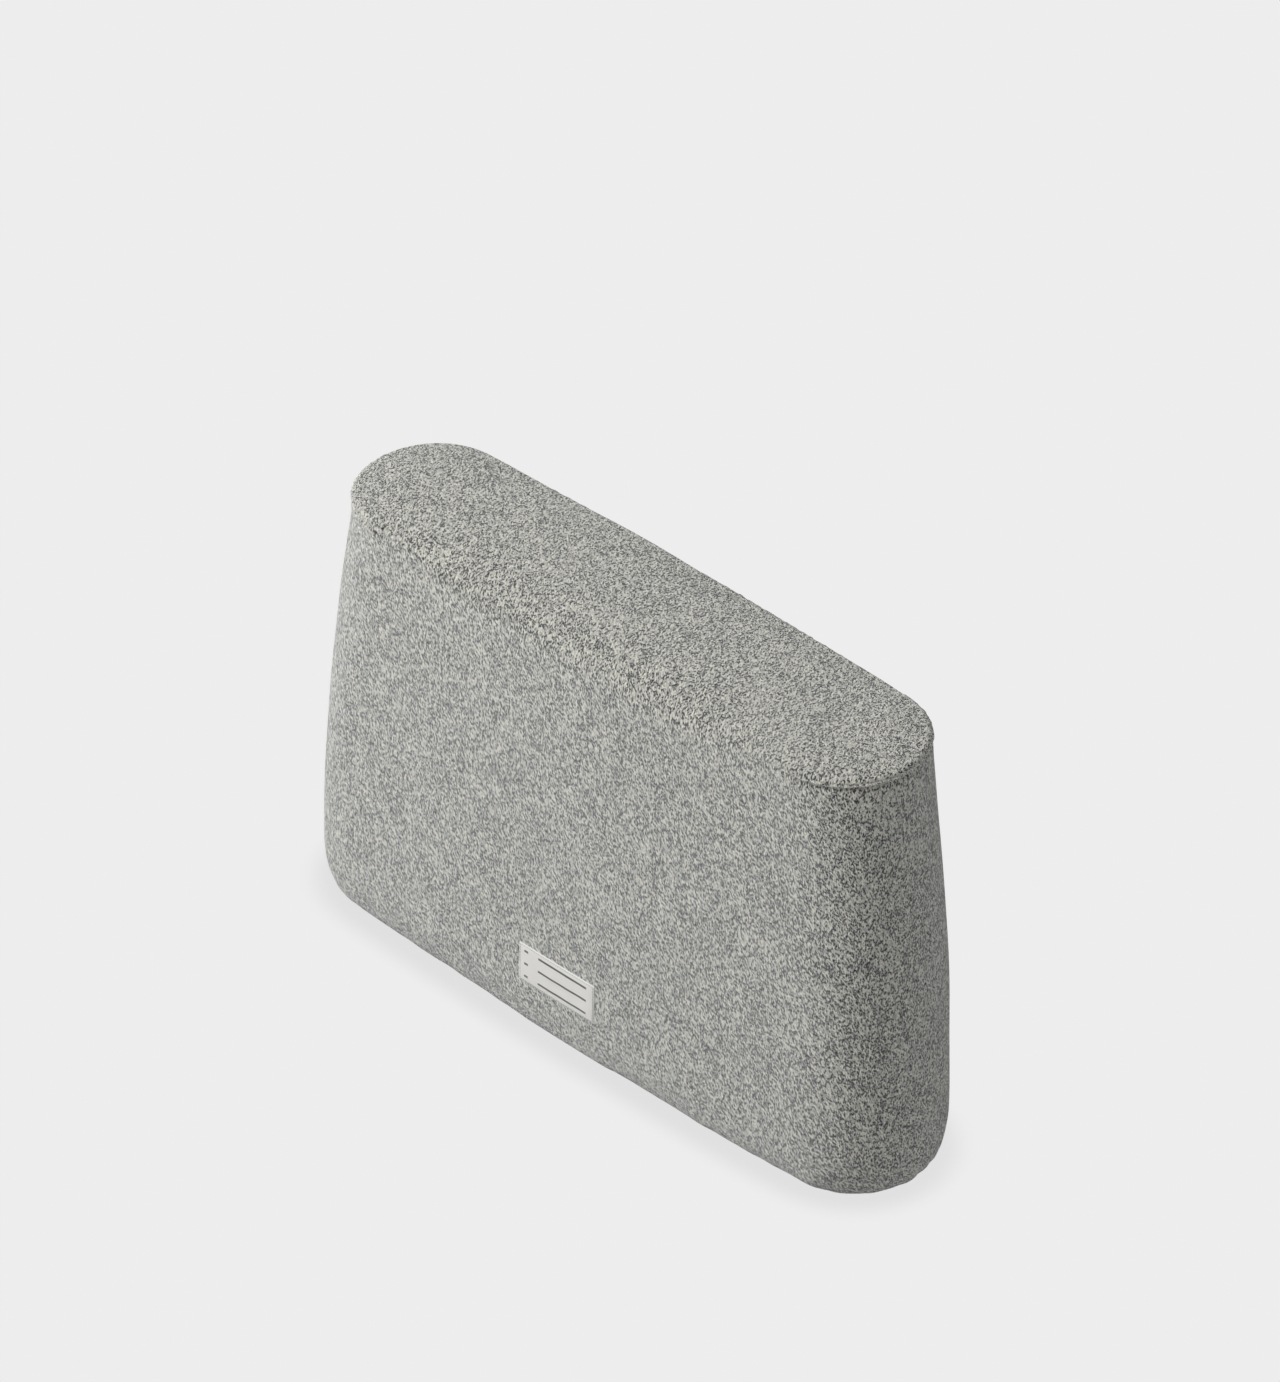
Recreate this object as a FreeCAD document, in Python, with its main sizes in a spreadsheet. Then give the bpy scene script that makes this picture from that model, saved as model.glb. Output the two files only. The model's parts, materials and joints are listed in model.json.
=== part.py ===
"""Free-standing upholstered back cushion on a weighted base, with a zipped removable cover.

Frame: millimetres, +X along the cushion, -Y out of its front face, +Z up.
Origin: on the floor, at the middle of the underside.

Every soft layer is bounded by a "blank": a closed ruled loft through level oval outlines, set in
from the outside of the cover by the layers that lie over it. A layer is one blank less the next,
so that neighbours share their surface exactly.
"""
import FreeCAD
import Part
import Sketcher

import math
import os

# Driving dimensions. All lengths are in millimetres and each can be set by itself.
SIZES = {
    # Outside of the cover
    "overall_length": 720.0,   # at the belly, where the cushion is widest
    "overall_depth": 184.0,
    "belly_height": 51.0,      # level of the widest outline
    "belly_bow": 9.0,          # how far the long faces bulge between their rounded ends
    "foot_inset": 18.0,        # how far the rolled foot turns under
    "rim_length": 650.0,       # at the level of the top seam
    "rim_depth": 158.0,
    "rim_height": 438.5,
    "rim_bow": 6.0,
    "rim_setback": 9.0,        # the top leans back by this much
    "wall_curve": 1.7,         # power of the wall's curve from belly to rim
    "crown_rise": 9.5,         # height of the top above its seam
    "crown_shoulder": 40.0,    # width over which the top rounds up, from outside the cover
    # Layers, from the outside in
    "cover_thickness": 2.0,
    "liner_thickness": 1.0,
    "wrap_thickness": 10.0,
    "facing_thickness": 20.0,
    "crown_pad_height": 34.0,
    "base_slab_height": 26.0,
    # Weighted base
    "base_unit_height": 54.0,
    "grip_thickness": 1.2,
    "base_cloth_thickness": 2.0,
    "base_cloth_margin": 3.0,  # from the outline on the floor to the base cloth's seam
    "grip_margin": 6.0,        # from the base cloth's edge to the grip sheet's
    "board_thickness": 12.0,
    "board_margin": 12.0,      # from the outline on the floor to the board's edge
    "board_edge_round": 3.0,
    "plate_length": 230.0,
    "plate_width": 96.0,
    "plate_thickness": 6.0,
    "plate_spacing": 300.0,    # between the two plates' middles
    "plate_corner_radius": 12.0,
    "bolt_spacing_length": 190.0,
    "bolt_spacing_width": 66.0,
    "bolt_diameter": 6.0,
    "bolt_reach": 8.0,         # length of thread inside the tee nut
    "bolt_head_diameter": 10.5,
    "bolt_head_height": 3.3,
    "bolt_hole_diameter": 6.6,
    "washer_diameter": 12.5,
    "washer_thickness": 1.6,
    "tee_flange_diameter": 17.0,
    "tee_flange_thickness": 1.2,
    "tee_barrel_diameter": 8.0,
    "tee_barrel_length": 9.5,
    "thread_clearance": 0.05,  # radial, bolt to tee nut
    "pocket_clearance": 1.0,   # foam to the board, plates and bolt heads
    # Seams that stand proud of the cover
    "seam_proud": 1.2,
    "seam_height": 3.6,
    "dart_length": 26.0,       # how far the top's end seams run on along the front
    # Zip in the back panel
    "zip_length": 400.0,
    "zip_height": 40.0,        # level of its middle
    "zip_window_height": 14.0,
    "zip_window_end": 24.0,    # window beyond each end of the zip, room for the pull
    "zip_gap": 1.0,            # tape to the inside of the cover at the window's ends
    "tape_thickness": 0.8,
    "tape_width": 8.0,
    "coil_slit": 1.6,          # between the two coils
    "coil_width": 2.6,
    "coil_thickness": 2.4,
    "stop_length": 3.0,
    "slider_length": 11.0,
    "slider_lip": 0.8,
    "slider_plate": 1.2,
    "slider_clearance": 0.25,
    "slider_post_length": 2.6,
    "slider_channel": 4.0,     # free depth behind the tape's middle
    "pull_length": 26.0,
    "pull_width": 7.0,
    "pull_thickness": 1.2,
    "pull_eye_length": 4.4,
    "pull_eye_width": 3.6,
    "bridge_width": 1.8,
    "bridge_thickness": 0.9,
    "bridge_span": 6.6,
    "bridge_leg": 1.0,
    "pivot_clearance": 0.2,    # around the pull's crossbar
    # Label
    "label_length": 94.0,
    "label_height": 41.5,
    "label_thickness": 0.7,
    "label_offset": -3.0,      # its middle along X
    "label_level": 79.0,       # its middle above the floor
}

WALL_STEPS = (0.25, 0.5, 0.75, 1.0)      # where the wall's outlines lie between belly and rim
FOOT_STEPS = (0.0, 0.1, 0.33)            # where the foot's outlines lie between floor and belly
CROWN_STEPS = (0.125, 0.4, 1.0)          # where the crown's outlines lie across its shoulder
REACH = 600.0                            # trimming blocks reach this far where nothing limits them

doc = FreeCAD.newDocument("back_cushion")
nodes = []


def fill_sheet():
    """The spreadsheet that holds every driving dimension under its own name."""
    made = doc.addObject("Spreadsheet::Sheet", "Sizes")
    for row, (name, value) in enumerate(SIZES.items(), start=1):
        made.set(f"A{row}", name)
        made.set(f"B{row}", str(value))
        made.setAlias(f"B{row}", name)
    doc.recompute()
    return made


sheet = fill_sheet()


def size(name):
    """The expression that reads one driving dimension."""
    assert name in SIZES, name
    return f"Sizes.{name}"


def bind(thing, **expressions):
    """Binds properties of an object to expressions, x, y and z being its place."""
    for name, text in expressions.items():
        path = f"Placement.Base.{name}" if name in "xyz" else name
        thing.setExpression(path, text)
    return thing


def node(thing, name):
    """Marks an object as a sub-part and gives it its name."""
    thing.Label = name
    nodes.append(thing)
    return thing


# ---------------------------------------------------------------- outlines and blanks


class Outline:
    """A level oval of four arcs: its height, half length, half depth, bow and setback."""

    def __init__(self, level, half_length, half_depth, bow, setback="0"):
        self.level, self.half_length, self.half_depth = level, half_length, half_depth
        self.bow, self.setback = bow, setback
        self.end_radius = f"({half_depth} - {bow})"
        self.end_centre = f"({half_length} - {self.end_radius})"
        self.face_radius = (
            f"(({self.end_centre}^2 + {half_depth}^2 - {self.end_radius}^2) / (2 * {bow}))"
        )

    def inset(self, by, level=None):
        """The same outline drawn in all round."""
        return Outline(level or self.level, f"({self.half_length} - {by})",
                       f"({self.half_depth} - {by})", self.bow, self.setback)


def foot_outline(level):
    """Outline between the floor and the belly, on a quarter ellipse."""
    share = f"(({size('belly_height')} - {level}) / {size('belly_height')})"
    turned = f"({size('foot_inset')} * (1 - sqrt(1 - {share}^2)))"
    return Outline(level, f"({size('overall_length')} / 2 - {turned})",
                   f"({size('overall_depth')} / 2 - {turned})", size("belly_bow"))


def wall_outline(level):
    """Outline between the belly and the rim."""
    share = f"(({level} - {size('belly_height')}) / ({size('rim_height')} - {size('belly_height')}))"
    drawn = f"{share}^{size('wall_curve')}"

    def between(low, high):
        return f"({size(low)} + ({size(high)} - {size(low)}) * {drawn})"

    return Outline(level, f"({between('overall_length', 'rim_length')} / 2)",
                   f"({between('overall_depth', 'rim_depth')} / 2)",
                   between("belly_bow", "rim_bow"), f"({size('rim_setback')} * {share})")


def draw_oval(sketch, outline):
    """Draws a four-arc oval in a sketch and ties it to the sheet."""
    def value(text):
        return float(sheet.evalExpression(text))

    radius, centre = value(outline.end_radius), value(outline.end_centre)
    face, back = value(outline.face_radius), value(outline.setback)
    rise = face - radius - value(outline.bow)
    turn = math.atan2(rise, centre)
    up = FreeCAD.Vector(0, 0, 1)

    def arc(x, y, size_of, start, end):
        circle = Part.Circle(FreeCAD.Vector(x, y, 0), up, size_of)
        return sketch.addGeometry(Part.ArcOfCircle(circle, start, end), False)

    front = arc(0, back + rise, face, math.pi + turn, 2 * math.pi - turn)
    right = arc(centre, back, radius, -turn, turn)
    rear = arc(0, back - rise, face, turn, math.pi - turn)
    left = arc(-centre, back, radius, math.pi - turn, math.pi + turn)
    for first, second in ((front, right), (right, rear), (rear, left), (left, front)):
        sketch.addConstraint(Sketcher.Constraint("Tangent", first, 2, second, 1))
    sketch.addConstraint(Sketcher.Constraint("Equal", left, right))
    sketch.addConstraint(Sketcher.Constraint("Equal", front, rear))
    driven = (
        ("end_radius", outline.end_radius, ("Radius", right, radius)),
        ("face_radius", outline.face_radius, ("Radius", front, face)),
        ("right_end", outline.end_centre, ("DistanceX", -1, 1, right, 3, centre)),
        ("left_end", outline.end_centre, ("DistanceX", left, 3, -1, 1, centre)),
        ("right_setback", outline.setback, ("DistanceY", -1, 1, right, 3, back)),
        ("left_setback", outline.setback, ("DistanceY", -1, 1, left, 3, back)),
    )
    for name, text, terms in driven:
        index = sketch.addConstraint(Sketcher.Constraint(*terms))
        sketch.renameConstraint(index, name)
        sketch.setExpression(f"Constraints.{name}", text)


def plane_of(body, role):
    """One of a body's own origin planes."""
    return next(part for part in body.Origin.OriginFeatures if part.Role == role)


def sketch_on(body, name, role="XY_Plane", level="0"):
    """An empty sketch on an origin plane of its own body, raised to a level."""
    sketch = body.newObject("Sketcher::SketchObject", name)
    sketch.AttachmentSupport = [(plane_of(body, role), "")]
    sketch.MapMode = "FlatFace"
    sketch.setExpression("AttachmentOffset.Base.z", level)
    return sketch


def oval_on(body, name, outline):
    """A sketch of one outline at its own level."""
    sketch = sketch_on(body, name, level=outline.level)
    draw_oval(sketch, outline)
    return sketch


def new_body(name):
    """A PartDesign body."""
    return doc.addObject("PartDesign::Body", name)


def blank(name, inset, floor="0"):
    """A closed solid of the whole cushion, set in by so much and standing on a floor level."""
    rim = f"({size('rim_height')} - {inset})"
    outlines = []
    for step in FOOT_STEPS:
        level = f"({floor} + {step} * ({size('belly_height')} - {floor}))"
        outlines.append(foot_outline(level).inset(inset))
    outlines.append(foot_outline(size("belly_height")).inset(inset))
    for step in WALL_STEPS:
        level = f"({size('belly_height')} + {step} * ({rim} - {size('belly_height')}))"
        outlines.append(wall_outline(level).inset(inset))
    for step in CROWN_STEPS:
        rise = f"({size('crown_rise')} * sqrt(1 - (1 - {step})^2))"
        drawn = f"({inset} + {step} * ({size('crown_shoulder')} - {inset}))"
        outlines.append(wall_outline(rim).inset(drawn, level=f"({rim} + {rise})"))
    body = new_body(name)
    sketches = [oval_on(body, f"{name}_{i}", each) for i, each in enumerate(outlines)]
    loft = body.newObject("PartDesign::AdditiveLoft", f"{name}_loft")
    loft.Profile = sketches[0]
    loft.Sections = sketches[1:]
    loft.Ruled = True
    loft.Closed = False
    return body


def oval_pad(name, outline, height):
    """A body with one oval padded up from its level."""
    body = new_body(name)
    pad = body.newObject("PartDesign::Pad", f"{name}_pad")
    pad.Profile = oval_on(body, f"{name}_outline", outline)
    pad.setExpression("Length", height)
    return body


# ---------------------------------------------------------------- blocks and booleans


def block(name, x, y, z):
    """A box between two expressions along each axis."""
    made = doc.addObject("Part::Box", name)
    bind(made, Length=f"{x[1]} - ({x[0]})", Width=f"{y[1]} - ({y[0]})", Height=f"{z[1]} - ({z[0]})",
         x=x[0], y=y[0], z=z[0])
    return made


def cylinder(name, radius, height, x, y, z):
    """An upright cylinder."""
    return bind(doc.addObject("Part::Cylinder", name), Radius=radius, Height=height, x=x, y=y, z=z)


def cut(name, base, tool):
    """base less tool."""
    made = doc.addObject("Part::Cut", name)
    made.Base, made.Tool = base, tool
    return made


def common(name, base, tool):
    """What base and tool share."""
    made = doc.addObject("Part::Common", name)
    made.Base, made.Tool = base, tool
    return made


def fuse(name, *shapes):
    """One solid of several that touch."""
    made = doc.addObject("Part::MultiFuse", name)
    made.Shapes = list(shapes)
    return made


def group(name, shapes):
    """Separate solids in one sub-part."""
    made = doc.addObject("Part::Compound", name)
    made.Links = list(shapes)
    return made


def half(name):
    """Half of a driving dimension."""
    return f"({size(name)} / 2)"


ALL = (f"-{REACH}", f"{REACH}")

# Levels, from the floor up
CLOTH_LEVEL = size("grip_thickness")
BOARD_LEVEL = f"({CLOTH_LEVEL} + {size('base_cloth_thickness')})"
PLATE_LEVEL = f"({BOARD_LEVEL} + {size('board_thickness')})"
WASHER_LEVEL = f"({PLATE_LEVEL} + {size('plate_thickness')})"
HEAD_LEVEL = f"({WASHER_LEVEL} + {size('washer_thickness')})"
UNIT_TOP = size("base_unit_height")
FOAM_LEVEL = f"({UNIT_TOP} + {size('liner_thickness')})"

# Insets of each layer's outside from the outside of the cover
LINER_INSET = size("cover_thickness")
WRAP_INSET = f"({LINER_INSET} + {size('liner_thickness')})"
FOAM_INSET = f"({WRAP_INSET} + {size('wrap_thickness')})"

# The vertical seams of the back panel stand where the rim's ends begin to turn
SEAM_PLACE = f"({half('rim_length')} - {half('rim_depth')} + {size('rim_bow')})"


# ---------------------------------------------------------------- cover


def seam_ring(name, proud):
    """A thin skin outside the cover, from which seams and labels are cut."""
    return cut(f"{name}_ring", blank(f"{name}_outside", f"(0 - {proud})"), skin_outside)


def make_cover():
    """The cover: one main panel over front, top and ends, the back panel and the base cloth."""
    floor_outline = foot_outline("0").inset(size("base_cloth_margin"))
    opening = oval_pad("base_opening", floor_outline, BOARD_LEVEL)
    openings = fuse("cover_openings", opening, zip_window)
    shell = cut("cover_shell", cut("closed_cover", skin_outside, skin_inside), openings)
    back_area = block("back_area", (f"-{SEAM_PLACE}", SEAM_PLACE), ("0", f"{REACH}"),
                      ("-1", size("rim_height")))
    node(cut("main_panel", shell, back_area), "cover_main_panel")
    node(common("back_panel", shell, back_area), "cover_back_panel")
    cloth_outline = foot_outline("0").inset(size("base_cloth_margin"), level=CLOTH_LEVEL)
    node(oval_pad("base_cloth", cloth_outline, size("base_cloth_thickness")), "cover_base_cloth")
    grip_inset = f"({size('base_cloth_margin')} + {size('grip_margin')})"
    grip_outline = foot_outline("0").inset(grip_inset)
    node(oval_pad("grip", grip_outline, size("grip_thickness")), "base_grip_sheet")


def make_seams():
    """The raised seams: round both ends of the top, along its back edge and down the back's sides."""
    ring = seam_ring("seam", size("seam_proud"))
    low, high = f"{size('rim_height')} - {size('seam_height')}", size("rim_height")
    dart = f"({SEAM_PLACE} - {size('dart_length')})"
    for side, front_x, back_x in (
        ("left", (f"-{REACH}", f"-{dart}"), (f"-{REACH}", f"-{SEAM_PLACE}")),
        ("right", (dart, f"{REACH}"), (SEAM_PLACE, f"{REACH}")),
    ):
        area = fuse(f"top_seam_area_{side}",
                    block(f"top_seam_front_{side}", front_x, (f"-{REACH}", "0"), (low, high)),
                    block(f"top_seam_rear_{side}", back_x, ("0", f"{REACH}"), (low, high)))
        node(common(f"top_seam_piece_{side}", ring, area), f"top_seam_{side}")
    area = block("top_seam_area_back", (f"-{SEAM_PLACE}", SEAM_PLACE), ("0", f"{REACH}"), (low, high))
    node(common("top_seam_piece_back", ring, area), "top_seam_back")
    for side, sign in (("left", "-"), ("right", "")):
        middle = f"{sign}{SEAM_PLACE}"
        area = block(f"back_seam_area_{side}",
                     (f"{middle} - {half('seam_height')}", f"{middle} + {half('seam_height')}"),
                     ("0", f"{REACH}"), (CLOTH_LEVEL, low))
        node(cut(f"back_seam_piece_{side}", common(f"back_seam_strip_{side}", ring, area), zip_window),
             f"back_seam_{side}")


def make_label():
    """The woven label on the front face."""
    ring = seam_ring("label", size("label_thickness"))
    area = block(
        "label_area",
        (f"{size('label_offset')} - {half('label_length')}",
         f"{size('label_offset')} + {half('label_length')}"),
        (f"-{REACH}", "0"),
        (f"{size('label_level')} - {half('label_height')}",
         f"{size('label_level')} + {half('label_height')}"))
    node(common("label_piece", ring, area), "front_label")


# ---------------------------------------------------------------- inner cushion


def make_insert():
    """The inner cushion above the base unit: liner bag, fibre wrap and six foam pieces."""
    above_unit = block("above_unit", ALL, ALL, (UNIT_TOP, f"{REACH}"))
    above_liner = block("above_liner", ALL, ALL, (FOAM_LEVEL, f"{REACH}"))
    bag = common("liner_outside", skin_inside, above_unit)
    filling = common("liner_filling", blank("wrap_blank", WRAP_INSET), above_liner)
    node(cut("liner", bag, filling), "inner_liner")
    foam_blank = blank("foam_blank", FOAM_INSET)
    node(cut("wrap", filling, foam_blank), "fibre_wrap")
    core_blank = blank("core_blank", f"({FOAM_INSET} + {size('facing_thickness')})")
    facings = cut("facings", foam_blank, core_blank)

    slab_top = f"({FOAM_LEVEL} + {size('base_slab_height')})"
    crown_bottom = (f"({size('rim_height')} + {size('crown_rise')} - {FOAM_INSET}"
                    f" - {size('crown_pad_height')})")
    tall = (slab_top, crown_bottom)
    middle = (f"-{SEAM_PLACE}", SEAM_PLACE)
    pieces = {
        "foam_base_slab": (foam_blank, ALL, ALL, (FOAM_LEVEL, slab_top)),
        "foam_core": (core_blank, middle, ALL, tall),
        "foam_front_facing": (facings, middle, (f"-{REACH}", "0"), tall),
        "foam_rear_facing": (facings, middle, ("0", f"{REACH}"), tall),
        "foam_end_left": (foam_blank, (f"-{REACH}", f"-{SEAM_PLACE}"), ALL, tall),
        "foam_end_right": (foam_blank, (SEAM_PLACE, f"{REACH}"), ALL, tall),
        "foam_crown": (foam_blank, ALL, ALL, (crown_bottom, f"{REACH}")),
    }
    for name, (whole, x, y, z) in pieces.items():
        node(common(f"{name}_piece", whole, block(f"{name}_area", x, y, z)), name)


# ---------------------------------------------------------------- weighted base


def bolt_places():
    """The place of each bolt as a pair of expressions."""
    return [
        (f"({plate} * {half('plate_spacing')} + {along} * {half('bolt_spacing_length')})",
         f"({across} * {half('bolt_spacing_width')})")
        for plate in (-1, 1) for along in (-1, 1) for across in (-1, 1)
    ]


def drill(name, base, radius, low, high):
    """base with a round hole at every bolt, between two levels."""
    holes = [cylinder(f"{name}_{i}", radius, f"{high} - ({low})", x, y, low)
             for i, (x, y) in enumerate(bolt_places())]
    return cut(f"{name}_drilled", base, group(f"{name}_all", holes))


def make_board():
    """The plywood board, with rounded edges, counterbored from below for the tee nuts."""
    outline = foot_outline("0").inset(size("board_margin"), level=BOARD_LEVEL)
    body = oval_pad("board", outline, size("board_thickness"))
    doc.recompute()
    pad = body.Tip
    top = sheet.evalExpression(PLATE_LEVEL)
    rounded = body.newObject("PartDesign::Fillet", "board_fillet")
    rounded.Base = (pad, [f"Edge{i}" for i, edge in enumerate(pad.Shape.Edges, start=1)
                          if edge.BoundBox.ZMin > float(top) - 1e-6])
    rounded.setExpression("Radius", size("board_edge_round"))
    body.Tip = rounded
    flange_top = f"({BOARD_LEVEL} + {size('tee_flange_thickness')})"
    bored = drill("board_bore", body, half("tee_barrel_diameter"), f"({BOARD_LEVEL} - 1)",
                  f"({PLATE_LEVEL} + 1)")
    node(drill("board_counterbore", bored, half("tee_flange_diameter"), f"({BOARD_LEVEL} - 1)",
               flange_top), "base_board")


def rounded_plate(name, centre):
    """A steel plate with four rounded upright edges."""
    box = block(f"{name}_block", (f"{centre} - {half('plate_length')}", f"{centre} + {half('plate_length')}"),
                (f"-{half('plate_width')}", half("plate_width")), (PLATE_LEVEL, WASHER_LEVEL))
    doc.recompute()
    rounded = doc.addObject("Part::Fillet", f"{name}_rounded")
    rounded.Base = box
    radius = SIZES["plate_corner_radius"]
    upright = [i for i, edge in enumerate(box.Shape.Edges, start=1)
               if abs(edge.tangentAt(edge.FirstParameter).z) > 0.9]
    rounded.Edges = [(i, radius, radius) for i in upright]
    return rounded


def make_plates():
    """The two ballast plates."""
    for side, sign in (("left", "-1"), ("right", "1")):
        plate = rounded_plate(f"plate_{side}", f"({sign} * {half('plate_spacing')})")
        node(drill(f"plate_hole_{side}", plate, half("bolt_hole_diameter"),
                   f"({PLATE_LEVEL} - 1)", f"({WASHER_LEVEL} + 1)"), f"ballast_plate_{side}")


def make_fasteners():
    """Bolts, washers and tee nuts, one set at each place."""
    bolts, washers, nuts = [], [], []
    flange_top = f"({BOARD_LEVEL} + {size('tee_flange_thickness')})"
    barrel_top = f"({flange_top} + {size('tee_barrel_length')})"
    thread_end = f"({barrel_top} - {size('bolt_reach')})"
    bore = f"({half('bolt_diameter')} + {size('thread_clearance')})"
    for i, (x, y) in enumerate(bolt_places()):
        shank = cylinder(f"shank_{i}", half("bolt_diameter"), f"{HEAD_LEVEL} - {thread_end}", x, y,
                         thread_end)
        head = cylinder(f"head_{i}", half("bolt_head_diameter"), size("bolt_head_height"), x, y,
                        HEAD_LEVEL)
        bolts.append(fuse(f"bolt_{i}", shank, head))
        disc = cylinder(f"disc_{i}", half("washer_diameter"), size("washer_thickness"), x, y,
                        WASHER_LEVEL)
        eye = cylinder(f"eye_{i}", bore, f"{size('washer_thickness')} + 2", x, y,
                       f"{WASHER_LEVEL} - 1")
        washers.append(cut(f"washer_{i}", disc, eye))
        flange = cylinder(f"flange_{i}", half("tee_flange_diameter"), size("tee_flange_thickness"),
                          x, y, BOARD_LEVEL)
        barrel = cylinder(f"barrel_{i}", half("tee_barrel_diameter"), size("tee_barrel_length"),
                          x, y, flange_top)
        thread = cylinder(f"thread_{i}", bore, f"{barrel_top} - {BOARD_LEVEL} + 2", x, y,
                          f"{BOARD_LEVEL} - 1")
        nuts.append(cut(f"nut_{i}", fuse(f"nut_blank_{i}", flange, barrel), thread))
    node(group("bolts", bolts), "ballast_bolts")
    node(group("washers", washers), "ballast_washers")
    node(group("nuts", nuts), "tee_nuts")


def make_foot_foam():
    """The firm foam tray that shapes the foot and holds the board and plates."""
    tray = common("tray_blank", skin_inside,
                  block("tray_area", ALL, ALL, (BOARD_LEVEL, UNIT_TOP)))
    gap = size("pocket_clearance")
    board_outline = foot_outline("0").inset(f"({size('board_margin')} - {gap})",
                                            level=f"({BOARD_LEVEL} - 1)")
    board_room = oval_pad("board_room", board_outline, f"{size('board_thickness')} + 1")
    rooms = [
        block(f"plate_room_{side}",
              (f"{sign} * {half('plate_spacing')} - {half('plate_length')} - {gap}",
               f"{sign} * {half('plate_spacing')} + {half('plate_length')} + {gap}"),
              (f"-{half('plate_width')} - {gap}", f"{half('plate_width')} + {gap}"),
              (f"{PLATE_LEVEL} - 1", f"{HEAD_LEVEL} + {size('bolt_head_height')} + {gap}"))
        for side, sign in (("left", "-1"), ("right", "1"))
    ]
    channel = block("zip_channel", (f"-{WINDOW_HALF}", WINDOW_HALF),
                    (f"{TAPE_MIDDLE} - {size('slider_channel')}", f"{REACH}"),
                    (f"{size('zip_height')} - {TAPE_EDGE}", f"{size('zip_height')} + {TAPE_EDGE}"))
    hollow = fuse("tray_hollow", board_room, *rooms)
    node(cut("tray", cut("tray_pocketed", tray, hollow), channel), "foot_foam_tray")


# ---------------------------------------------------------------- zip

WINDOW_HALF = f"({half('zip_length')} + {size('zip_window_end')})"
COIL_INNER = half("coil_slit")
COIL_OUTER = f"({COIL_INNER} + {size('coil_width')})"
TAPE_EDGE = f"({COIL_OUTER} + {size('tape_width')})"
BELLY = foot_outline(size("belly_height"))
TAPE_FOOT = foot_outline(f"({size('zip_height')} - {TAPE_EDGE})")
# The inside of the cover at the tape's lower corners, which the straight tape has to lie behind
TAPE_FACE = (f"({TAPE_FOOT.half_depth} - {WINDOW_HALF}^2 / (2 * {BELLY.face_radius})"
             f" - {size('cover_thickness')} - {size('zip_gap')})")
TAPE_MIDDLE = f"({TAPE_FACE} - {half('tape_thickness')})"


def band(name, x, low, high, depth):
    """A strip centred on the tape's middle plane, between two distances from the zip's line."""
    return block(name, x, (f"{TAPE_MIDDLE} - {depth}", f"{TAPE_MIDDLE} + {depth}"),
                 (f"{size('zip_height')} + ({low})", f"{size('zip_height')} + ({high})"))


def make_chain():
    """The two tapes, their coils, the end stops and the plackets that join tape to cover."""
    tape_half = f"({WINDOW_HALF} - {size('zip_gap')})"
    coil_half = f"({half('zip_length')} - {size('stop_length')})"
    along, coiled = (f"-{tape_half}", tape_half), (f"-{coil_half}", coil_half)
    window = half("zip_window_height")
    for side, sign in (("upper", 1), ("lower", -1)):
        def span(near, far, sign=sign):
            return (near, far) if sign > 0 else (f"-{far}", f"-{near}")
        node(band(f"tape_{side}_strip", along, *span(COIL_OUTER, TAPE_EDGE), half("tape_thickness")),
             f"zip_tape_{side}")
        node(band(f"coil_{side}_bar", coiled, *span(COIL_INNER, COIL_OUTER), half("coil_thickness")),
             f"zip_coil_{side}")
        low, high = span(window, TAPE_EDGE)
        area = block(f"placket_{side}_area", along, (TAPE_FACE, f"{REACH}"),
                     (f"{size('zip_height')} + ({low})", f"{size('zip_height')} + ({high})"))
        node(common(f"placket_{side}_piece", skin_inside, area), f"zip_placket_{side}")
    depth = f"({half('coil_thickness')} + {size('slider_clearance')})"
    end = half("zip_length")
    stops = [band("stop_open_end", (f"-{end}", f"-{coil_half}"), f"-{COIL_OUTER}", COIL_OUTER, depth)]
    stops += [band("stop_top_upper", (coil_half, end), COIL_INNER, COIL_OUTER, depth),
              band("stop_top_lower", (coil_half, end), f"-{COIL_OUTER}", f"-{COIL_INNER}", depth)]
    node(group("stops", stops), "zip_stops")


SLIDER_START = (f"({half('zip_length')} - {size('stop_length')} - {size('slider_clearance')}"
                f" - {half('slider_length')})")
PLATE_NEAR = f"({half('coil_thickness')} + {size('slider_clearance')})"
PLATE_FAR = f"({PLATE_NEAR} + {size('slider_plate')})"
LIP_INNER = f"({COIL_OUTER} + {size('slider_clearance')})"
LIP_OUTER = f"({LIP_INNER} + {size('slider_lip')})"
BAR_LEVEL = f"({TAPE_MIDDLE} + {PLATE_FAR} + {size('pivot_clearance')} + {half('pull_thickness')})"
BRIDGE_LOW = f"({BAR_LEVEL} + {half('pull_thickness')} + {size('pivot_clearance')})"


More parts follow.
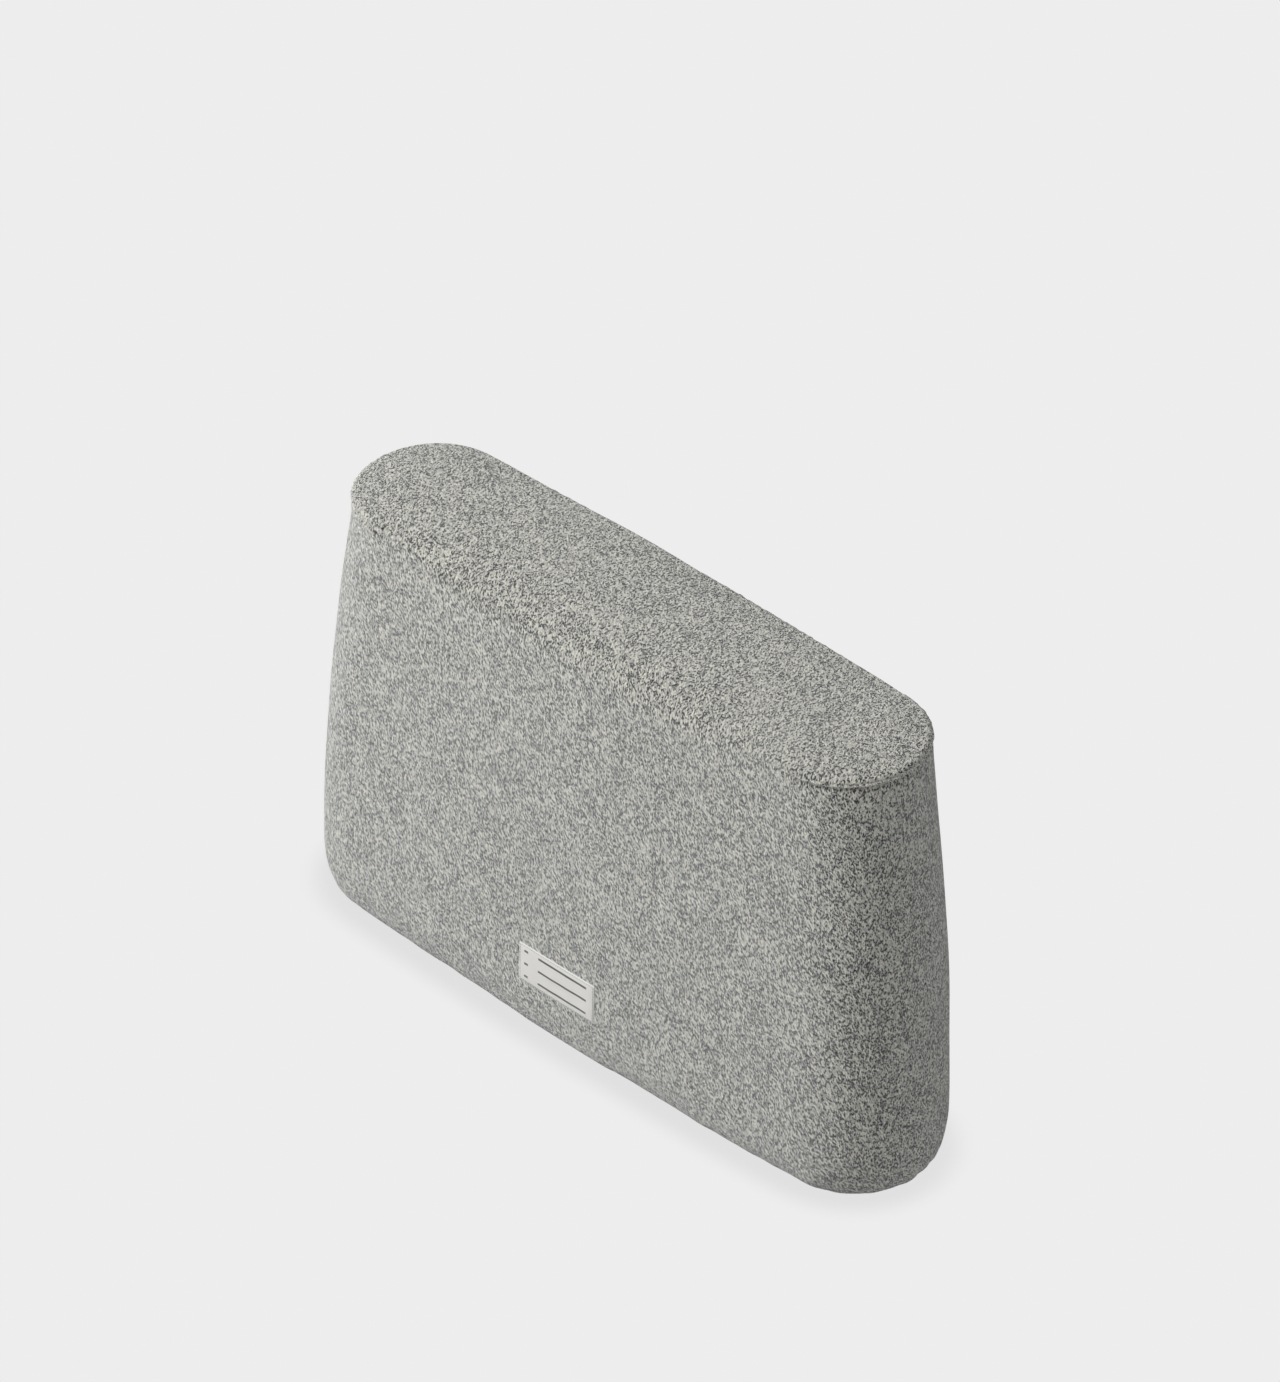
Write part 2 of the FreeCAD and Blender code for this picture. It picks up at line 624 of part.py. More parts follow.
def make_slider():
    """The slider: two plates round the coils, lips beside them, a post and the bridge."""
    level = size("zip_height")
    along = (f"{SLIDER_START} - {half('slider_length')}", f"{SLIDER_START} + {half('slider_length')}")
    across = (f"{level} - {LIP_OUTER}", f"{level} + {LIP_OUTER}")
    pieces = []
    for side, sign in (("outer", 1), ("inner", -1)):
        def depth(near, far, sign=sign):
            low, high = (near, far) if sign > 0 else (f"-{far}", f"-{near}")
            return (f"{TAPE_MIDDLE} + ({low})", f"{TAPE_MIDDLE} + ({high})")
        pieces.append(block(f"slider_{side}", along, depth(PLATE_NEAR, PLATE_FAR), across))
        lip_near = f"({half('tape_thickness')} + {size('slider_clearance')})"
        for edge, low, high in (("upper", LIP_INNER, LIP_OUTER),
                                ("lower", f"-{LIP_OUTER}", f"-{LIP_INNER}")):
            pieces.append(block(f"lip_{side}_{edge}", along, depth(lip_near, PLATE_NEAR),
                                (f"{level} + ({low})", f"{level} + ({high})")))
    post_half = f"({half('coil_slit')} - {size('slider_clearance')})"
    pieces.append(block("slider_post", (f"{along[1]} - {size('slider_post_length')}", along[1]),
                        (f"{TAPE_MIDDLE} - {PLATE_NEAR}", f"{TAPE_MIDDLE} + {PLATE_NEAR}"),
                        (f"{level} - {post_half}", f"{level} + {post_half}")))
    bridge_across = (f"{level} - {half('bridge_width')}", f"{level} + {half('bridge_width')}")
    bridge_top = f"({BRIDGE_LOW} + {size('bridge_thickness')})"
    reach = half("bridge_span")
    pieces.append(block("bridge_top", (f"{SLIDER_START} - {reach}", f"{SLIDER_START} + {reach}"),
                        (BRIDGE_LOW, bridge_top), bridge_across))
    for end, low, high in (("open", f"-{reach}", f"-{reach} + {size('bridge_leg')}"),
                           ("closed", f"{reach} - {size('bridge_leg')}", reach)):
        pieces.append(block(f"bridge_leg_{end}", (f"{SLIDER_START} + ({low})", f"{SLIDER_START} + ({high})"),
                            (f"{TAPE_MIDDLE} + {PLATE_FAR}", BRIDGE_LOW), bridge_across))
    node(fuse("slider", *pieces), "zip_slider")


def make_pull():
    """The pull tab, with an eye whose round crossbar turns under the slider's bridge."""
    level, thick = size("zip_height"), half("pull_thickness")
    bar = bind(doc.addObject("Part::Cylinder", "pull_bar"), Radius=thick, Height=size("pull_width"),
               x=SLIDER_START, y=BAR_LEVEL, z=f"{level} - {half('pull_width')}")
    tab = block("pull_tab", (f"{SLIDER_START} - {size('pull_length')}", SLIDER_START),
                (f"{BAR_LEVEL} - {thick}", f"{BAR_LEVEL} + {thick}"),
                (f"{level} - {half('pull_width')}", f"{level} + {half('pull_width')}"))
    eye = block("pull_eye",
                (f"{SLIDER_START} - {thick} - {size('pull_eye_length')}", f"{SLIDER_START} - {thick}"),
                (f"{BAR_LEVEL} - 5", f"{BAR_LEVEL} + 5"),
                (f"{level} - {half('pull_eye_width')}", f"{level} + {half('pull_eye_width')}"))
    node(cut("pull", fuse("pull_blank", bar, tab), eye), "zip_pull")


# ---------------------------------------------------------------- building and writing


def check(thing):
    """Stops if an object failed or a sub-part's shape is missing or faulty."""
    bad = {"Invalid", "Error"} & set(thing.State)
    assert not bad, f"{thing.Label}: {thing.State}"
    if thing in nodes:
        shape = thing.Shape
        assert not shape.isNull() and shape.isValid() and shape.Solids, f"{thing.Label}: faulty shape"


def write_parts():
    """Checks the whole document and writes one file for each sub-part."""
    os.makedirs("parts", exist_ok=True)
    for thing in doc.Objects:
        check(thing)
    names = [thing.Label for thing in nodes]
    assert len(names) == len(set(names)), "two sub-parts share a name"
    for thing in nodes:
        thing.Shape.exportStep(f"parts/{thing.Label}.step")
        box = thing.Shape.optimalBoundingBox()
        print(f"{thing.Label:22s} {len(thing.Shape.Solids):2d} solid  {thing.Shape.Volume / 1000:10.2f} cm3"
              f"  x {box.XMin:8.2f} {box.XMax:8.2f}  y {box.YMin:8.2f} {box.YMax:8.2f}"
              f"  z {box.ZMin:7.2f} {box.ZMax:7.2f}")


skin_outside = blank("skin_outside", "0")
skin_inside = blank("skin_inside", size("cover_thickness"), floor=BOARD_LEVEL)
zip_window = block("zip_window", (f"-{WINDOW_HALF}", WINDOW_HALF), ("0", f"{REACH}"),
                   (f"{size('zip_height')} - {half('zip_window_height')}",
                    f"{size('zip_height')} + {half('zip_window_height')}"))
make_cover()
make_seams()
make_label()
make_insert()
make_board()
make_plates()
make_fasteners()
make_foot_foam()
make_chain()
make_slider()
make_pull()
doc.recompute()
write_parts()
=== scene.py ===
"""Looks of the free-standing back cushion: sewn cover, label, zip, base, filling and studio.

Metres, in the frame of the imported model: +X along the cushion, -Y out of its front, +Z up.
"""

import json
import logging
import math
from dataclasses import dataclass
from enum import Enum
from typing import Callable

import bmesh
import bpy
import numpy as np
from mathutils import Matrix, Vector


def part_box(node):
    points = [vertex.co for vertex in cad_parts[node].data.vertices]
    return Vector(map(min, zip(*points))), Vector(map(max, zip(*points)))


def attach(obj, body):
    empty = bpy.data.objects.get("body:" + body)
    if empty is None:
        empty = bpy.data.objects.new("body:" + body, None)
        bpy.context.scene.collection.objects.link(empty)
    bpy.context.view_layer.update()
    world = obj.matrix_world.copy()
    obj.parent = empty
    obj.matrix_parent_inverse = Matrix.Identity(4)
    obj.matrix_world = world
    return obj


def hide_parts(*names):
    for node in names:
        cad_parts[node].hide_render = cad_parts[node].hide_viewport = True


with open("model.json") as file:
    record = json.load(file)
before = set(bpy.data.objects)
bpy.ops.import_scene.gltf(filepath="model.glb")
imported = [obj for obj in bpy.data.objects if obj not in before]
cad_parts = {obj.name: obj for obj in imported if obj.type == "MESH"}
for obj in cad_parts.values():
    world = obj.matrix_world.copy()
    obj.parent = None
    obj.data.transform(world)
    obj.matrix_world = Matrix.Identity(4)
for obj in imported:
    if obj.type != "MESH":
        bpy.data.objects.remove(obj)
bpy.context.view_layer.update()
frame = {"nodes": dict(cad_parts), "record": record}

log = logging.getLogger("back_cushion")

Socket = bpy.types.NodeSocket
Value = Socket | float | tuple[float, ...]
Colour = tuple[float, float, float, float]
Array = np.ndarray

WEAVE_MAP = "weave"       # name of the map that lays the cloth's own metres on a piece
MM = 0.001


# ---------------------------------------------------------------- node trees


def tone(red: float, green: float, blue: float) -> Colour:
    """A colour for a shader from its three screen values.

    Args:
        red: Screen value from 0 to 255.
        green: Screen value from 0 to 255.
        blue: Screen value from 0 to 255.

    Returns:
        The linear colour, opaque.
    """
    def linear(value: float) -> float:
        """One channel made linear."""
        share = value / 255
        return share / 12.92 if share <= 0.04045 else ((share + 0.055) / 1.055) ** 2.4

    return (linear(red), linear(green), linear(blue), 1.0)


class Tree:
    """Adds and joins the nodes of one material or shader group."""

    def __init__(self, tree: bpy.types.NodeTree) -> None:
        """Keeps the tree and empties it."""
        self.tree = tree
        tree.nodes.clear()

    def add(self, kind: str, sockets: dict[str | int, Value] | None = None,
            **settings: object) -> bpy.types.Node:
        """Adds one node.

        Args:
            kind: The node's Blender type.
            sockets: What goes into its inputs, each a constant or another node's output.
            **settings: Properties of the node itself.

        Returns:
            The new node.
        """
        node = self.tree.nodes.new(kind)
        for name, value in settings.items():
            setattr(node, name, value)
        for key, value in (sockets or {}).items():
            if isinstance(value, bpy.types.NodeSocket):
                self.tree.links.new(value, node.inputs[key])
            else:
                node.inputs[key].default_value = value
        return node

    def math(self, operation: str, first: Value, second: Value = 0.0) -> Socket:
        """Result of one arithmetic step on two values."""
        return self.add("ShaderNodeMath", {0: first, 1: second}, operation=operation).outputs[0]

    def vector(self, operation: str, first: Value, second: Value) -> Socket:
        """Result of one arithmetic step on two vectors."""
        return self.add("ShaderNodeVectorMath", {0: first, 1: second}, operation=operation).outputs[0]

    def scaled(self, vector: Value, factor: Value) -> Socket:
        """A vector times a number."""
        node = self.add("ShaderNodeVectorMath", {0: vector, "Scale": factor}, operation="SCALE")
        return node.outputs[0]

    def turned(self, vector: Value, angle: Value) -> Socket:
        """A vector turned about Z."""
        node = self.add("ShaderNodeVectorRotate", {"Vector": vector, "Angle": angle}, rotation_type="Z_AXIS")
        return node.outputs[0]

    def blend(self, share: Value, first: Value, second: Value) -> Socket:
        """Colour between first and second, by share."""
        node = self.add("ShaderNodeMix", {0: share, 6: first, 7: second}, data_type="RGBA")
        return node.outputs[2]

    def spread(self, value: Value, low: Value, high: Value, to_low: float = 0.0,
               to_high: float = 1.0) -> Socket:
        """Maps a value from one range onto another.

        Args:
            value: What is mapped.
            low: Start of its range.
            high: End of its range.
            to_low: Result at low and below.
            to_high: Result at high and above.

        Returns:
            The mapped value, eased at both ends.
        """
        sockets = {"Value": value, "From Min": low, "From Max": high, "To Min": to_low, "To Max": to_high}
        node = self.add("ShaderNodeMapRange", sockets, interpolation_type="SMOOTHSTEP")
        return node.outputs["Result"]

    def noise(self, vector: Value, scale: Value, detail: float = 2.0, roughness: float = 0.5,
              output: str = "Fac") -> Socket:
        """Soft random pattern.

        Args:
            vector: Place on the surface.
            scale: Blotches to a unit of length.
            detail: Levels of finer pattern on top.
            roughness: Strength of each finer level.
            output: Fac for a value or Color for a vector.

        Returns:
            The pattern's value or vector.
        """
        sockets = {"Vector": vector, "Scale": scale, "Detail": detail, "Roughness": roughness}
        return self.add("ShaderNodeTexNoise", sockets).outputs[output]

    def place(self, mapped: bool) -> Socket:
        """Metres along the cloth where mapped, otherwise metres in space."""
        if mapped:
            return self.add("ShaderNodeUVMap", uv_map=WEAVE_MAP).outputs["UV"]
        return self.add("ShaderNodeTexCoord").outputs["Object"]

    def group(self, group: bpy.types.NodeTree, sockets: dict[str | int, Value]) -> bpy.types.Node:
        """Places a shader group and fills its inputs."""
        node = self.add("ShaderNodeGroup", node_tree=group)
        for key, value in sockets.items():
            if isinstance(value, bpy.types.NodeSocket):
                self.tree.links.new(value, node.inputs[key])
            else:
                node.inputs[key].default_value = value
        return node


class ShaderGroup:
    """A shader group with named inputs and outputs, built once and shared by materials."""

    made: dict[str, bpy.types.NodeTree] = {}

    def __init__(self, name: str, inputs: dict[str, float | None], outputs: tuple[str, ...],
                 build: Callable[[Tree, dict[str, Socket]], dict[str, Value]]) -> None:
        """Describes the group.

        Args:
            name: The group's name.
            inputs: Name and usual value of each input, None for a vector.
            outputs: Names of its value outputs.
            build: Adds the inner nodes and gives what leaves through each output.
        """
        self.name, self.inputs, self.outputs, self.build = name, inputs, outputs, build

    def tree(self) -> bpy.types.NodeTree:
        """The group's node tree, made at its first use."""
        if self.name in self.made:
            return self.made[self.name]
        tree = bpy.data.node_groups.new(self.name, "ShaderNodeTree")
        for name, usual in self.inputs.items():
            kind = "NodeSocketVector" if usual is None else "NodeSocketFloat"
            socket = tree.interface.new_socket(name=name, in_out="INPUT", socket_type=kind)
            if usual is not None:
                socket.default_value = usual
        for name in self.outputs:
            tree.interface.new_socket(name=name, in_out="OUTPUT", socket_type="NodeSocketFloat")
        inner = Tree(tree)
        entry = inner.add("NodeGroupInput")
        leaving = self.build(inner, {name: entry.outputs[name] for name in self.inputs})
        inner.add("NodeGroupOutput", dict(leaving))
        self.made[self.name] = tree
        return tree


def build_melange(tree: Tree, entry: dict[str, Socket]) -> dict[str, Value]:
    """Nodes of the speckled yarn: short floats that lie side by side, some of them dark.

    Args:
        tree: The group's tree.
        entry: The group's inputs.

    Returns:
        What leaves through each output.
    """
    drift = tree.vector("SUBTRACT", tree.noise(entry["Vector"], 90.0, 2.0, 0.5, "Color"), (0.5, 0.5, 0.5))
    wander = tree.scaled(drift, entry["Wander"])
    turned = tree.turned(tree.vector("ADD", entry["Vector"], wander), entry["Lean"])
    size = tree.add("ShaderNodeCombineXYZ", {0: entry["Float Length"], 1: entry["Float Width"], 2: 1.0})
    floats = tree.vector("DIVIDE", turned, size.outputs[0])
    cloud = tree.math("SUBTRACT", tree.noise(entry["Vector"], 40.0, 3.0, 0.6), 0.5)
    share = tree.math("ADD", entry["Dark Share"], tree.math("MULTIPLY", cloud, entry["Cloud"]))
    fibre = tree.noise(tree.vector("MULTIPLY", floats, (1.1, 3.4, 1.0)), 1.0, 3.0, 0.6)
    ragged = tree.math("MULTIPLY", tree.math("SUBTRACT", fibre, 0.5), 0.9)
    dark, halo, puff = 0.0, 0.0, 0.0
    for layer, start in enumerate(((0.0, 0.0, 0.0), (17.3, 9.1, 0.0), (41.7, 23.9, 0.0))):
        moved = tree.vector("ADD", floats, start)
        cell = tree.add("ShaderNodeTexVoronoi", {"Vector": moved, "Scale": 1.0}, voronoi_dimensions="2D")
        chance = tree.add("ShaderNodeSeparateXYZ", {0: cell.outputs["Color"]}).outputs
        local = tree.vector("SUBTRACT", moved, cell.outputs["Position"])
        metres = tree.vector("MULTIPLY", local, size.outputs[0])
        swing = tree.math("MULTIPLY", tree.math("SUBTRACT", chance[0], 0.5), entry["Jitter"])
        spun = tree.turned(metres, tree.math("ADD", swing, entry["Swing"]))
        reach = tree.vector("DIVIDE", spun, tree.scaled(size.outputs[0], 0.5))
        flat = tree.vector("MULTIPLY", reach, (1.0, 1.0, 0.0))
        length = tree.add("ShaderNodeVectorMath", {0: flat}, operation="LENGTH").outputs["Value"]
        ratio = tree.math("ADD", length, ragged)
        chosen = tree.math("LESS_THAN", chance[1], share)
        thick = tree.spread(chance[2], 0.0, 1.0, 0.75, 1.1)
        body = tree.spread(ratio, tree.math("MULTIPLY", thick, 0.7), thick, 1.0, 0.0)
        glow = tree.spread(ratio, 0.8, 1.7, 1.0, 0.0)
        dark = tree.math("MAXIMUM", dark, tree.math("MULTIPLY", body, chosen))
        halo = tree.math("MAXIMUM", halo, tree.math("MULTIPLY", glow, chosen))
        if layer == 0:
            puff = tree.spread(ratio, 0.0, 1.2, 1.0, 0.0)
            tint = chance[2]
    grain = tree.noise(floats, 1.3, 2.0, 0.55)
    height = tree.math("ADD", tree.math("MULTIPLY", puff, 0.5), tree.math("ADD", grain, fibre))
    sunk = tree.math("SUBTRACT", height, tree.math("MULTIPLY", dark, 0.8))
    shade = tree.math("ADD", tree.math("MULTIPLY", grain, 0.75), tree.math("MULTIPLY", tint, 0.25))
    return {"Halo": halo, "Dark": dark, "Shade": shade, "Fibre": fibre, "Height": sunk}


MELANGE = ShaderGroup(
    "melange_floats",
    {"Vector": None, "Float Width": 0.002, "Float Length": 0.006, "Lean": 1.0, "Swing": 0.0, "Jitter": 0.8,
     "Wander": 0.002, "Dark Share": 0.15, "Cloud": 0.3},
    ("Halo", "Dark", "Shade", "Fibre", "Height"), build_melange)


def build_plain_weave(tree: Tree, entry: dict[str, Socket]) -> dict[str, Value]:
    """Nodes of a plain weave: warp and weft that pass over each other in turn.

    Args:
        tree: The group's tree.
        entry: The group's inputs.

    Returns:
        What leaves through each output.
    """
    parts = tree.add("ShaderNodeSeparateXYZ", {0: entry["Vector"]})
    turn = tree.math("DIVIDE", math.pi, entry["Pitch"])
    across = tree.math("SINE", tree.math("MULTIPLY", parts.outputs[0], turn))
    along = tree.math("SINE", tree.math("MULTIPLY", parts.outputs[1], turn))
    over = tree.math("MULTIPLY", across, along)
    slub = tree.noise(entry["Vector"], tree.math("DIVIDE", 0.35, entry["Pitch"]), 3.0, 0.6)
    height = tree.math("ADD", tree.math("ABSOLUTE", over), tree.math("MULTIPLY", slub, 0.5))
    return {"Over": tree.spread(over, -0.5, 0.5), "Slub": slub, "Height": height}


PLAIN_WEAVE = ShaderGroup("plain_weave", {"Vector": None, "Pitch": 0.0006}, ("Over", "Slub", "Height"),
                          build_plain_weave)


def build_twill(tree: Tree, entry: dict[str, Socket]) -> dict[str, Value]:
    """Nodes of a herringbone tape: slanting ribs that turn at each rib line.

    Args:
        tree: The group's tree.
        entry: The group's inputs.

    Returns:
        What leaves through each output.
    """
    parts = tree.add("ShaderNodeSeparateXYZ", {0: entry["Vector"]})
    fold = tree.math("PINGPONG", parts.outputs[2], tree.math("MULTIPLY", entry["Pitch"], 3.0))
    slant = tree.math("ADD", parts.outputs[0], fold)
    rib = tree.math("SINE", tree.math("MULTIPLY", slant, tree.math("DIVIDE", math.tau, entry["Pitch"])))
    slub = tree.noise(entry["Vector"], 900.0, 3.0, 0.6)
    return {"Rib": tree.spread(rib, -0.8, 0.8), "Slub": slub,
            "Height": tree.math("ADD", rib, tree.math("MULTIPLY", slub, 0.4))}


TWILL = ShaderGroup("herringbone", {"Vector": None, "Pitch": 0.0009}, ("Rib", "Slub", "Height"), build_twill)


def build_cells(tree: Tree, entry: dict[str, Socket]) -> dict[str, Value]:
    """Nodes of open foam: round pores in two sizes.

    Args:
        tree: The group's tree.
        entry: The group's inputs.

    Returns:
        What leaves through each output.
    """
    scale = tree.math("DIVIDE", 1.0, entry["Pore"])
    large = tree.add("ShaderNodeTexVoronoi", {"Vector": entry["Vector"], "Scale": scale})
    small = tree.add("ShaderNodeTexVoronoi",
                     {"Vector": entry["Vector"], "Scale": tree.math("MULTIPLY", scale, 2.3)})
    height = tree.math("ADD", large.outputs["Distance"],
                       tree.math("MULTIPLY", small.outputs["Distance"], 0.5))
    return {"Pore": tree.spread(height, 0.2, 0.8), "Patch": tree.noise(entry["Vector"], 30.0, 3.0, 0.6),
            "Height": height}


CELLS = ShaderGroup("foam_cells", {"Vector": None, "Pore": 0.0012}, ("Pore", "Patch", "Height"), build_cells)


def build_wear(tree: Tree, entry: dict[str, Socket]) -> dict[str, Value]:
    """Nodes of handling marks: fine scratches and cloudy dulling.

    Args:
        tree: The group's tree.
        entry: The group's inputs.

    Returns:
        What leaves through each output.
    """
    stretched = tree.vector("MULTIPLY", entry["Vector"], (1.0, 9.0, 9.0))
    lines = tree.noise(stretched, entry["Scale"], 6.0, 0.7)
    cloud = tree.noise(entry["Vector"], tree.math("MULTIPLY", entry["Scale"], 0.25), 3.0, 0.6)
    return {"Scratch": tree.spread(lines, 0.45, 0.75), "Dull": cloud, "Height": lines}


WEAR = ShaderGroup("handling_marks", {"Vector": None, "Scale": 900.0}, ("Scratch", "Dull", "Height"),
                   build_wear)


# ---------------------------------------------------------------- finishes


class Finish:
    """Base of every finish: makes its material once and hands it out."""

    name: str
    made: dict[str, bpy.types.Material] = {}

    def surface(self, tree: Tree) -> dict[str, Value]:
        """What goes into the Principled shader, with Bump Height and Bump Depth for relief."""
        raise NotImplementedError

    def material(self) -> bpy.types.Material:
        """The finish's material.

        Returns:
            The material, built at its first use.
        """
        if self.name in self.made:
            return self.made[self.name]
        made = bpy.data.materials.new(self.name)
        made.use_nodes = True
        tree = Tree(made.node_tree)
        sockets = self.surface(tree)
        height, depth = sockets.pop("Bump Height", None), sockets.pop("Bump Depth", 0.0)
        if height is not None:
            bump = tree.add("ShaderNodeBump", {"Strength": 1.0, "Distance": depth, "Height": height})
            sockets["Normal"] = bump.outputs[0]
        shader = tree.add("ShaderNodeBsdfPrincipled", sockets)
        tree.add("ShaderNodeOutputMaterial", {"Surface": shader.outputs[0]})
        self.made[self.name] = made
        return made


@dataclass(frozen=True)
class MelangeCloth(Finish):
    """Speckled wool-like upholstery: pale yarn with charcoal floats."""

    name: str = "melange_cloth"
    pale: Colour = tone(246, 243, 230)
    grey: Colour = tone(178, 179, 172)
    halo: Colour = tone(80, 88, 94)
    dark: Colour = tone(5, 6, 8)
    lean: float = 1.12
    float_width: float = 0.00125
    float_length: float = 0.0031
    wander: float = 0.0014
    jitter: float = 0.9
    end_swing: float = 0.55       # how much steeper the floats stand on the ends
    dark_share: float = 0.245
    cloud: float = 0.30

    def surface(self, tree: Tree) -> dict[str, Value]:
        """Yarn colours by float, with a soft pile; the floats stand steeper round the ends."""
        facing = tree.add("ShaderNodeSeparateXYZ", {0: tree.add("ShaderNodeNewGeometry").outputs["Normal"]})
        endways = tree.spread(tree.math("ABSOLUTE", facing.outputs[0]), 0.45, 0.95, 0.0, self.end_swing)
        upward = tree.spread(facing.outputs[2], 0.35, 0.9, self.jitter, math.pi)
        floats = tree.group(MELANGE.tree(), {
            "Vector": tree.place(True), "Float Width": self.float_width, "Float Length": self.float_length,
            "Lean": self.lean, "Swing": endways, "Jitter": upward, "Wander": self.wander,
            "Dark Share": self.dark_share, "Cloud": self.cloud}).outputs
        shaded = tree.blend(tree.spread(floats["Shade"], 0.38, 0.66), self.pale, self.grey)
        fuzzed = tree.blend(tree.spread(floats["Fibre"], 0.4, 0.75, 0.0, 0.45), shaded, self.halo)
        specked = tree.blend(tree.math("MULTIPLY", floats["Halo"], 0.42), fuzzed, self.halo)
        colour = tree.blend(tree.math("MULTIPLY", floats["Dark"], 0.97), specked, self.dark)
        return {"Base Color": colour, "Roughness": tree.spread(floats["Fibre"], 0.2, 0.8, 0.86, 0.98),
                "Sheen Weight": 0.8, "Sheen Roughness": 0.42, "Sheen Tint": tone(246, 249, 252),
                "Specular IOR Level": 0.1, "Bump Height": floats["Height"], "Bump Depth": 0.0016}


@dataclass(frozen=True)
class WovenCloth(Finish):
    """Plain woven cloth in two close yarn colours."""

    name: str
    warp: Colour
    weft: Colour
    pitch: float = 0.0007
    mapped: bool = True

    def surface(self, tree: Tree) -> dict[str, Value]:
        """Warp and weft colours with slubs."""
        weave = tree.group(PLAIN_WEAVE.tree(),
                           {"Vector": tree.place(self.mapped), "Pitch": self.pitch}).outputs
        yarn = tree.blend(weave["Over"], self.warp, self.weft)
        colour = tree.blend(tree.spread(weave["Slub"], 0.3, 0.8, 0.0, 0.3), yarn, self.weft)
        return {"Base Color": colour, "Roughness": tree.spread(weave["Slub"], 0.2, 0.8, 0.8, 0.95),
                "Sheen Weight": 0.15, "Specular IOR Level": 0.2,
                "Bump Height": weave["Height"], "Bump Depth": self.pitch * 0.3}


@dataclass(frozen=True)
class LabelCloth(Finish):
    """Off-white woven label with three rows of plain dark bars."""

    name: str = "label_cloth"
    ground: Colour = tone(224, 223, 220)
    edge: Colour = tone(234, 234, 232)
    bar: Colour = tone(62, 56, 50)
    pitch: float = 0.0005
    length: float = 0.094
    height: float = 0.0415

    def within(self, tree: Tree, value: Socket, low: float, high: float) -> Socket:
        """1 where a value lies between two limits, otherwise 0."""
        return tree.math("MULTIPLY", tree.math("GREATER_THAN", value, low),
                         tree.math("LESS_THAN", value, high))

    def surface(self, tree: Tree) -> dict[str, Value]:
        """Fine weave, a paler selvedge and the woven bars."""
        place = tree.place(True)
        weave = tree.group(PLAIN_WEAVE.tree(), {"Vector": place, "Pitch": self.pitch}).outputs
        parts = tree.add("ShaderNodeSeparateXYZ", {0: place})
        along, up = parts.outputs[0], parts.outputs[1]
        row = tree.math("FRACT", tree.math("DIVIDE", up, self.height / 3))
        in_row = self.within(tree, row, 0.44, 0.60)
        short = self.within(tree, along, 0.075 * self.length, 0.125 * self.length)
        long = self.within(tree, along, 0.26 * self.length, 0.90 * self.length)
        bars = tree.math("MULTIPLY", in_row, tree.math("MAXIMUM", short, long))
        margin = 0.0016
        inner = tree.math("MULTIPLY", self.within(tree, along, margin, self.length - margin),
                          self.within(tree, up, margin, self.height - margin))
        ground = tree.blend(inner, self.edge, self.ground)
        shaded = tree.blend(tree.spread(weave["Over"], 0.0, 1.0, 0.0, 0.10), ground, tone(170, 168, 160))
        colour = tree.blend(tree.math("MULTIPLY", bars, 0.92), shaded, self.bar)
        relief = tree.math("ADD", weave["Height"], tree.math("MULTIPLY", bars, 0.6))
        return {"Base Color": colour, "Roughness": tree.spread(weave["Slub"], 0.2, 0.8, 0.62, 0.8),
                "Sheen Weight": 0.2, "Bump Height": relief, "Bump Depth": 0.00015}


@dataclass(frozen=True)
class Thread(Finish):
    """Twisted sewing thread."""

    name: str = "sewing_thread"
    colour: Colour = tone(176, 177, 172)

    def surface(self, tree: Tree) -> dict[str, Value]:
        """A plied thread, paler where its plies catch the light."""
        ply = tree.noise(tree.place(False), 2600.0, 2.0, 0.5)
        colour = tree.blend(tree.spread(ply, 0.35, 0.65), tone(120, 122, 119), self.colour)
        return {"Base Color": colour, "Roughness": tree.spread(ply, 0.3, 0.7, 0.55, 0.75),
                "Bump Height": ply, "Bump Depth": 0.0001}


@dataclass(frozen=True)
class GripRubber(Finish):
    """Matt soft rubber of the grip sheet."""

    name: str = "grip_rubber"
    colour: Colour = tone(52, 53, 55)

    def surface(self, tree: Tree) -> dict[str, Value]:
        """Dark rubber with dust in its grain."""
        grain = tree.noise(tree.place(False), 1400.0, 4.0, 0.65)
        dust = tree.noise(tree.place(False), 45.0, 3.0, 0.6)
        colour = tree.blend(tree.spread(dust, 0.45, 0.75, 0.0, 0.35), self.colour, tone(104, 103, 100))
        return {"Base Color": colour, "Roughness": tree.spread(grain, 0.3, 0.7, 0.62, 0.82),
                "Bump Height": grain, "Bump Depth": 0.00012}


@dataclass(frozen=True)
class Foam(Finish):
    """Open-cell foam."""

    name: str = "foam"
    light: Colour = tone(232, 226, 204)
    deep: Colour = tone(190, 180, 150)
    pore: float = 0.0012

    def surface(self, tree: Tree) -> dict[str, Value]:
        """Pores and slightly yellowed patches."""
        cells = tree.group(CELLS.tree(), {"Vector": tree.place(False), "Pore": self.pore}).outputs
        body = tree.blend(cells["Pore"], self.deep, self.light)
        colour = tree.blend(tree.spread(cells["Patch"], 0.4, 0.8, 0.0, 0.4), body, self.deep)
        return {"Base Color": colour, "Roughness": tree.spread(cells["Pore"], 0.0, 1.0, 0.98, 0.85),
                "Bump Height": cells["Height"], "Bump Depth": self.pore * 0.4}


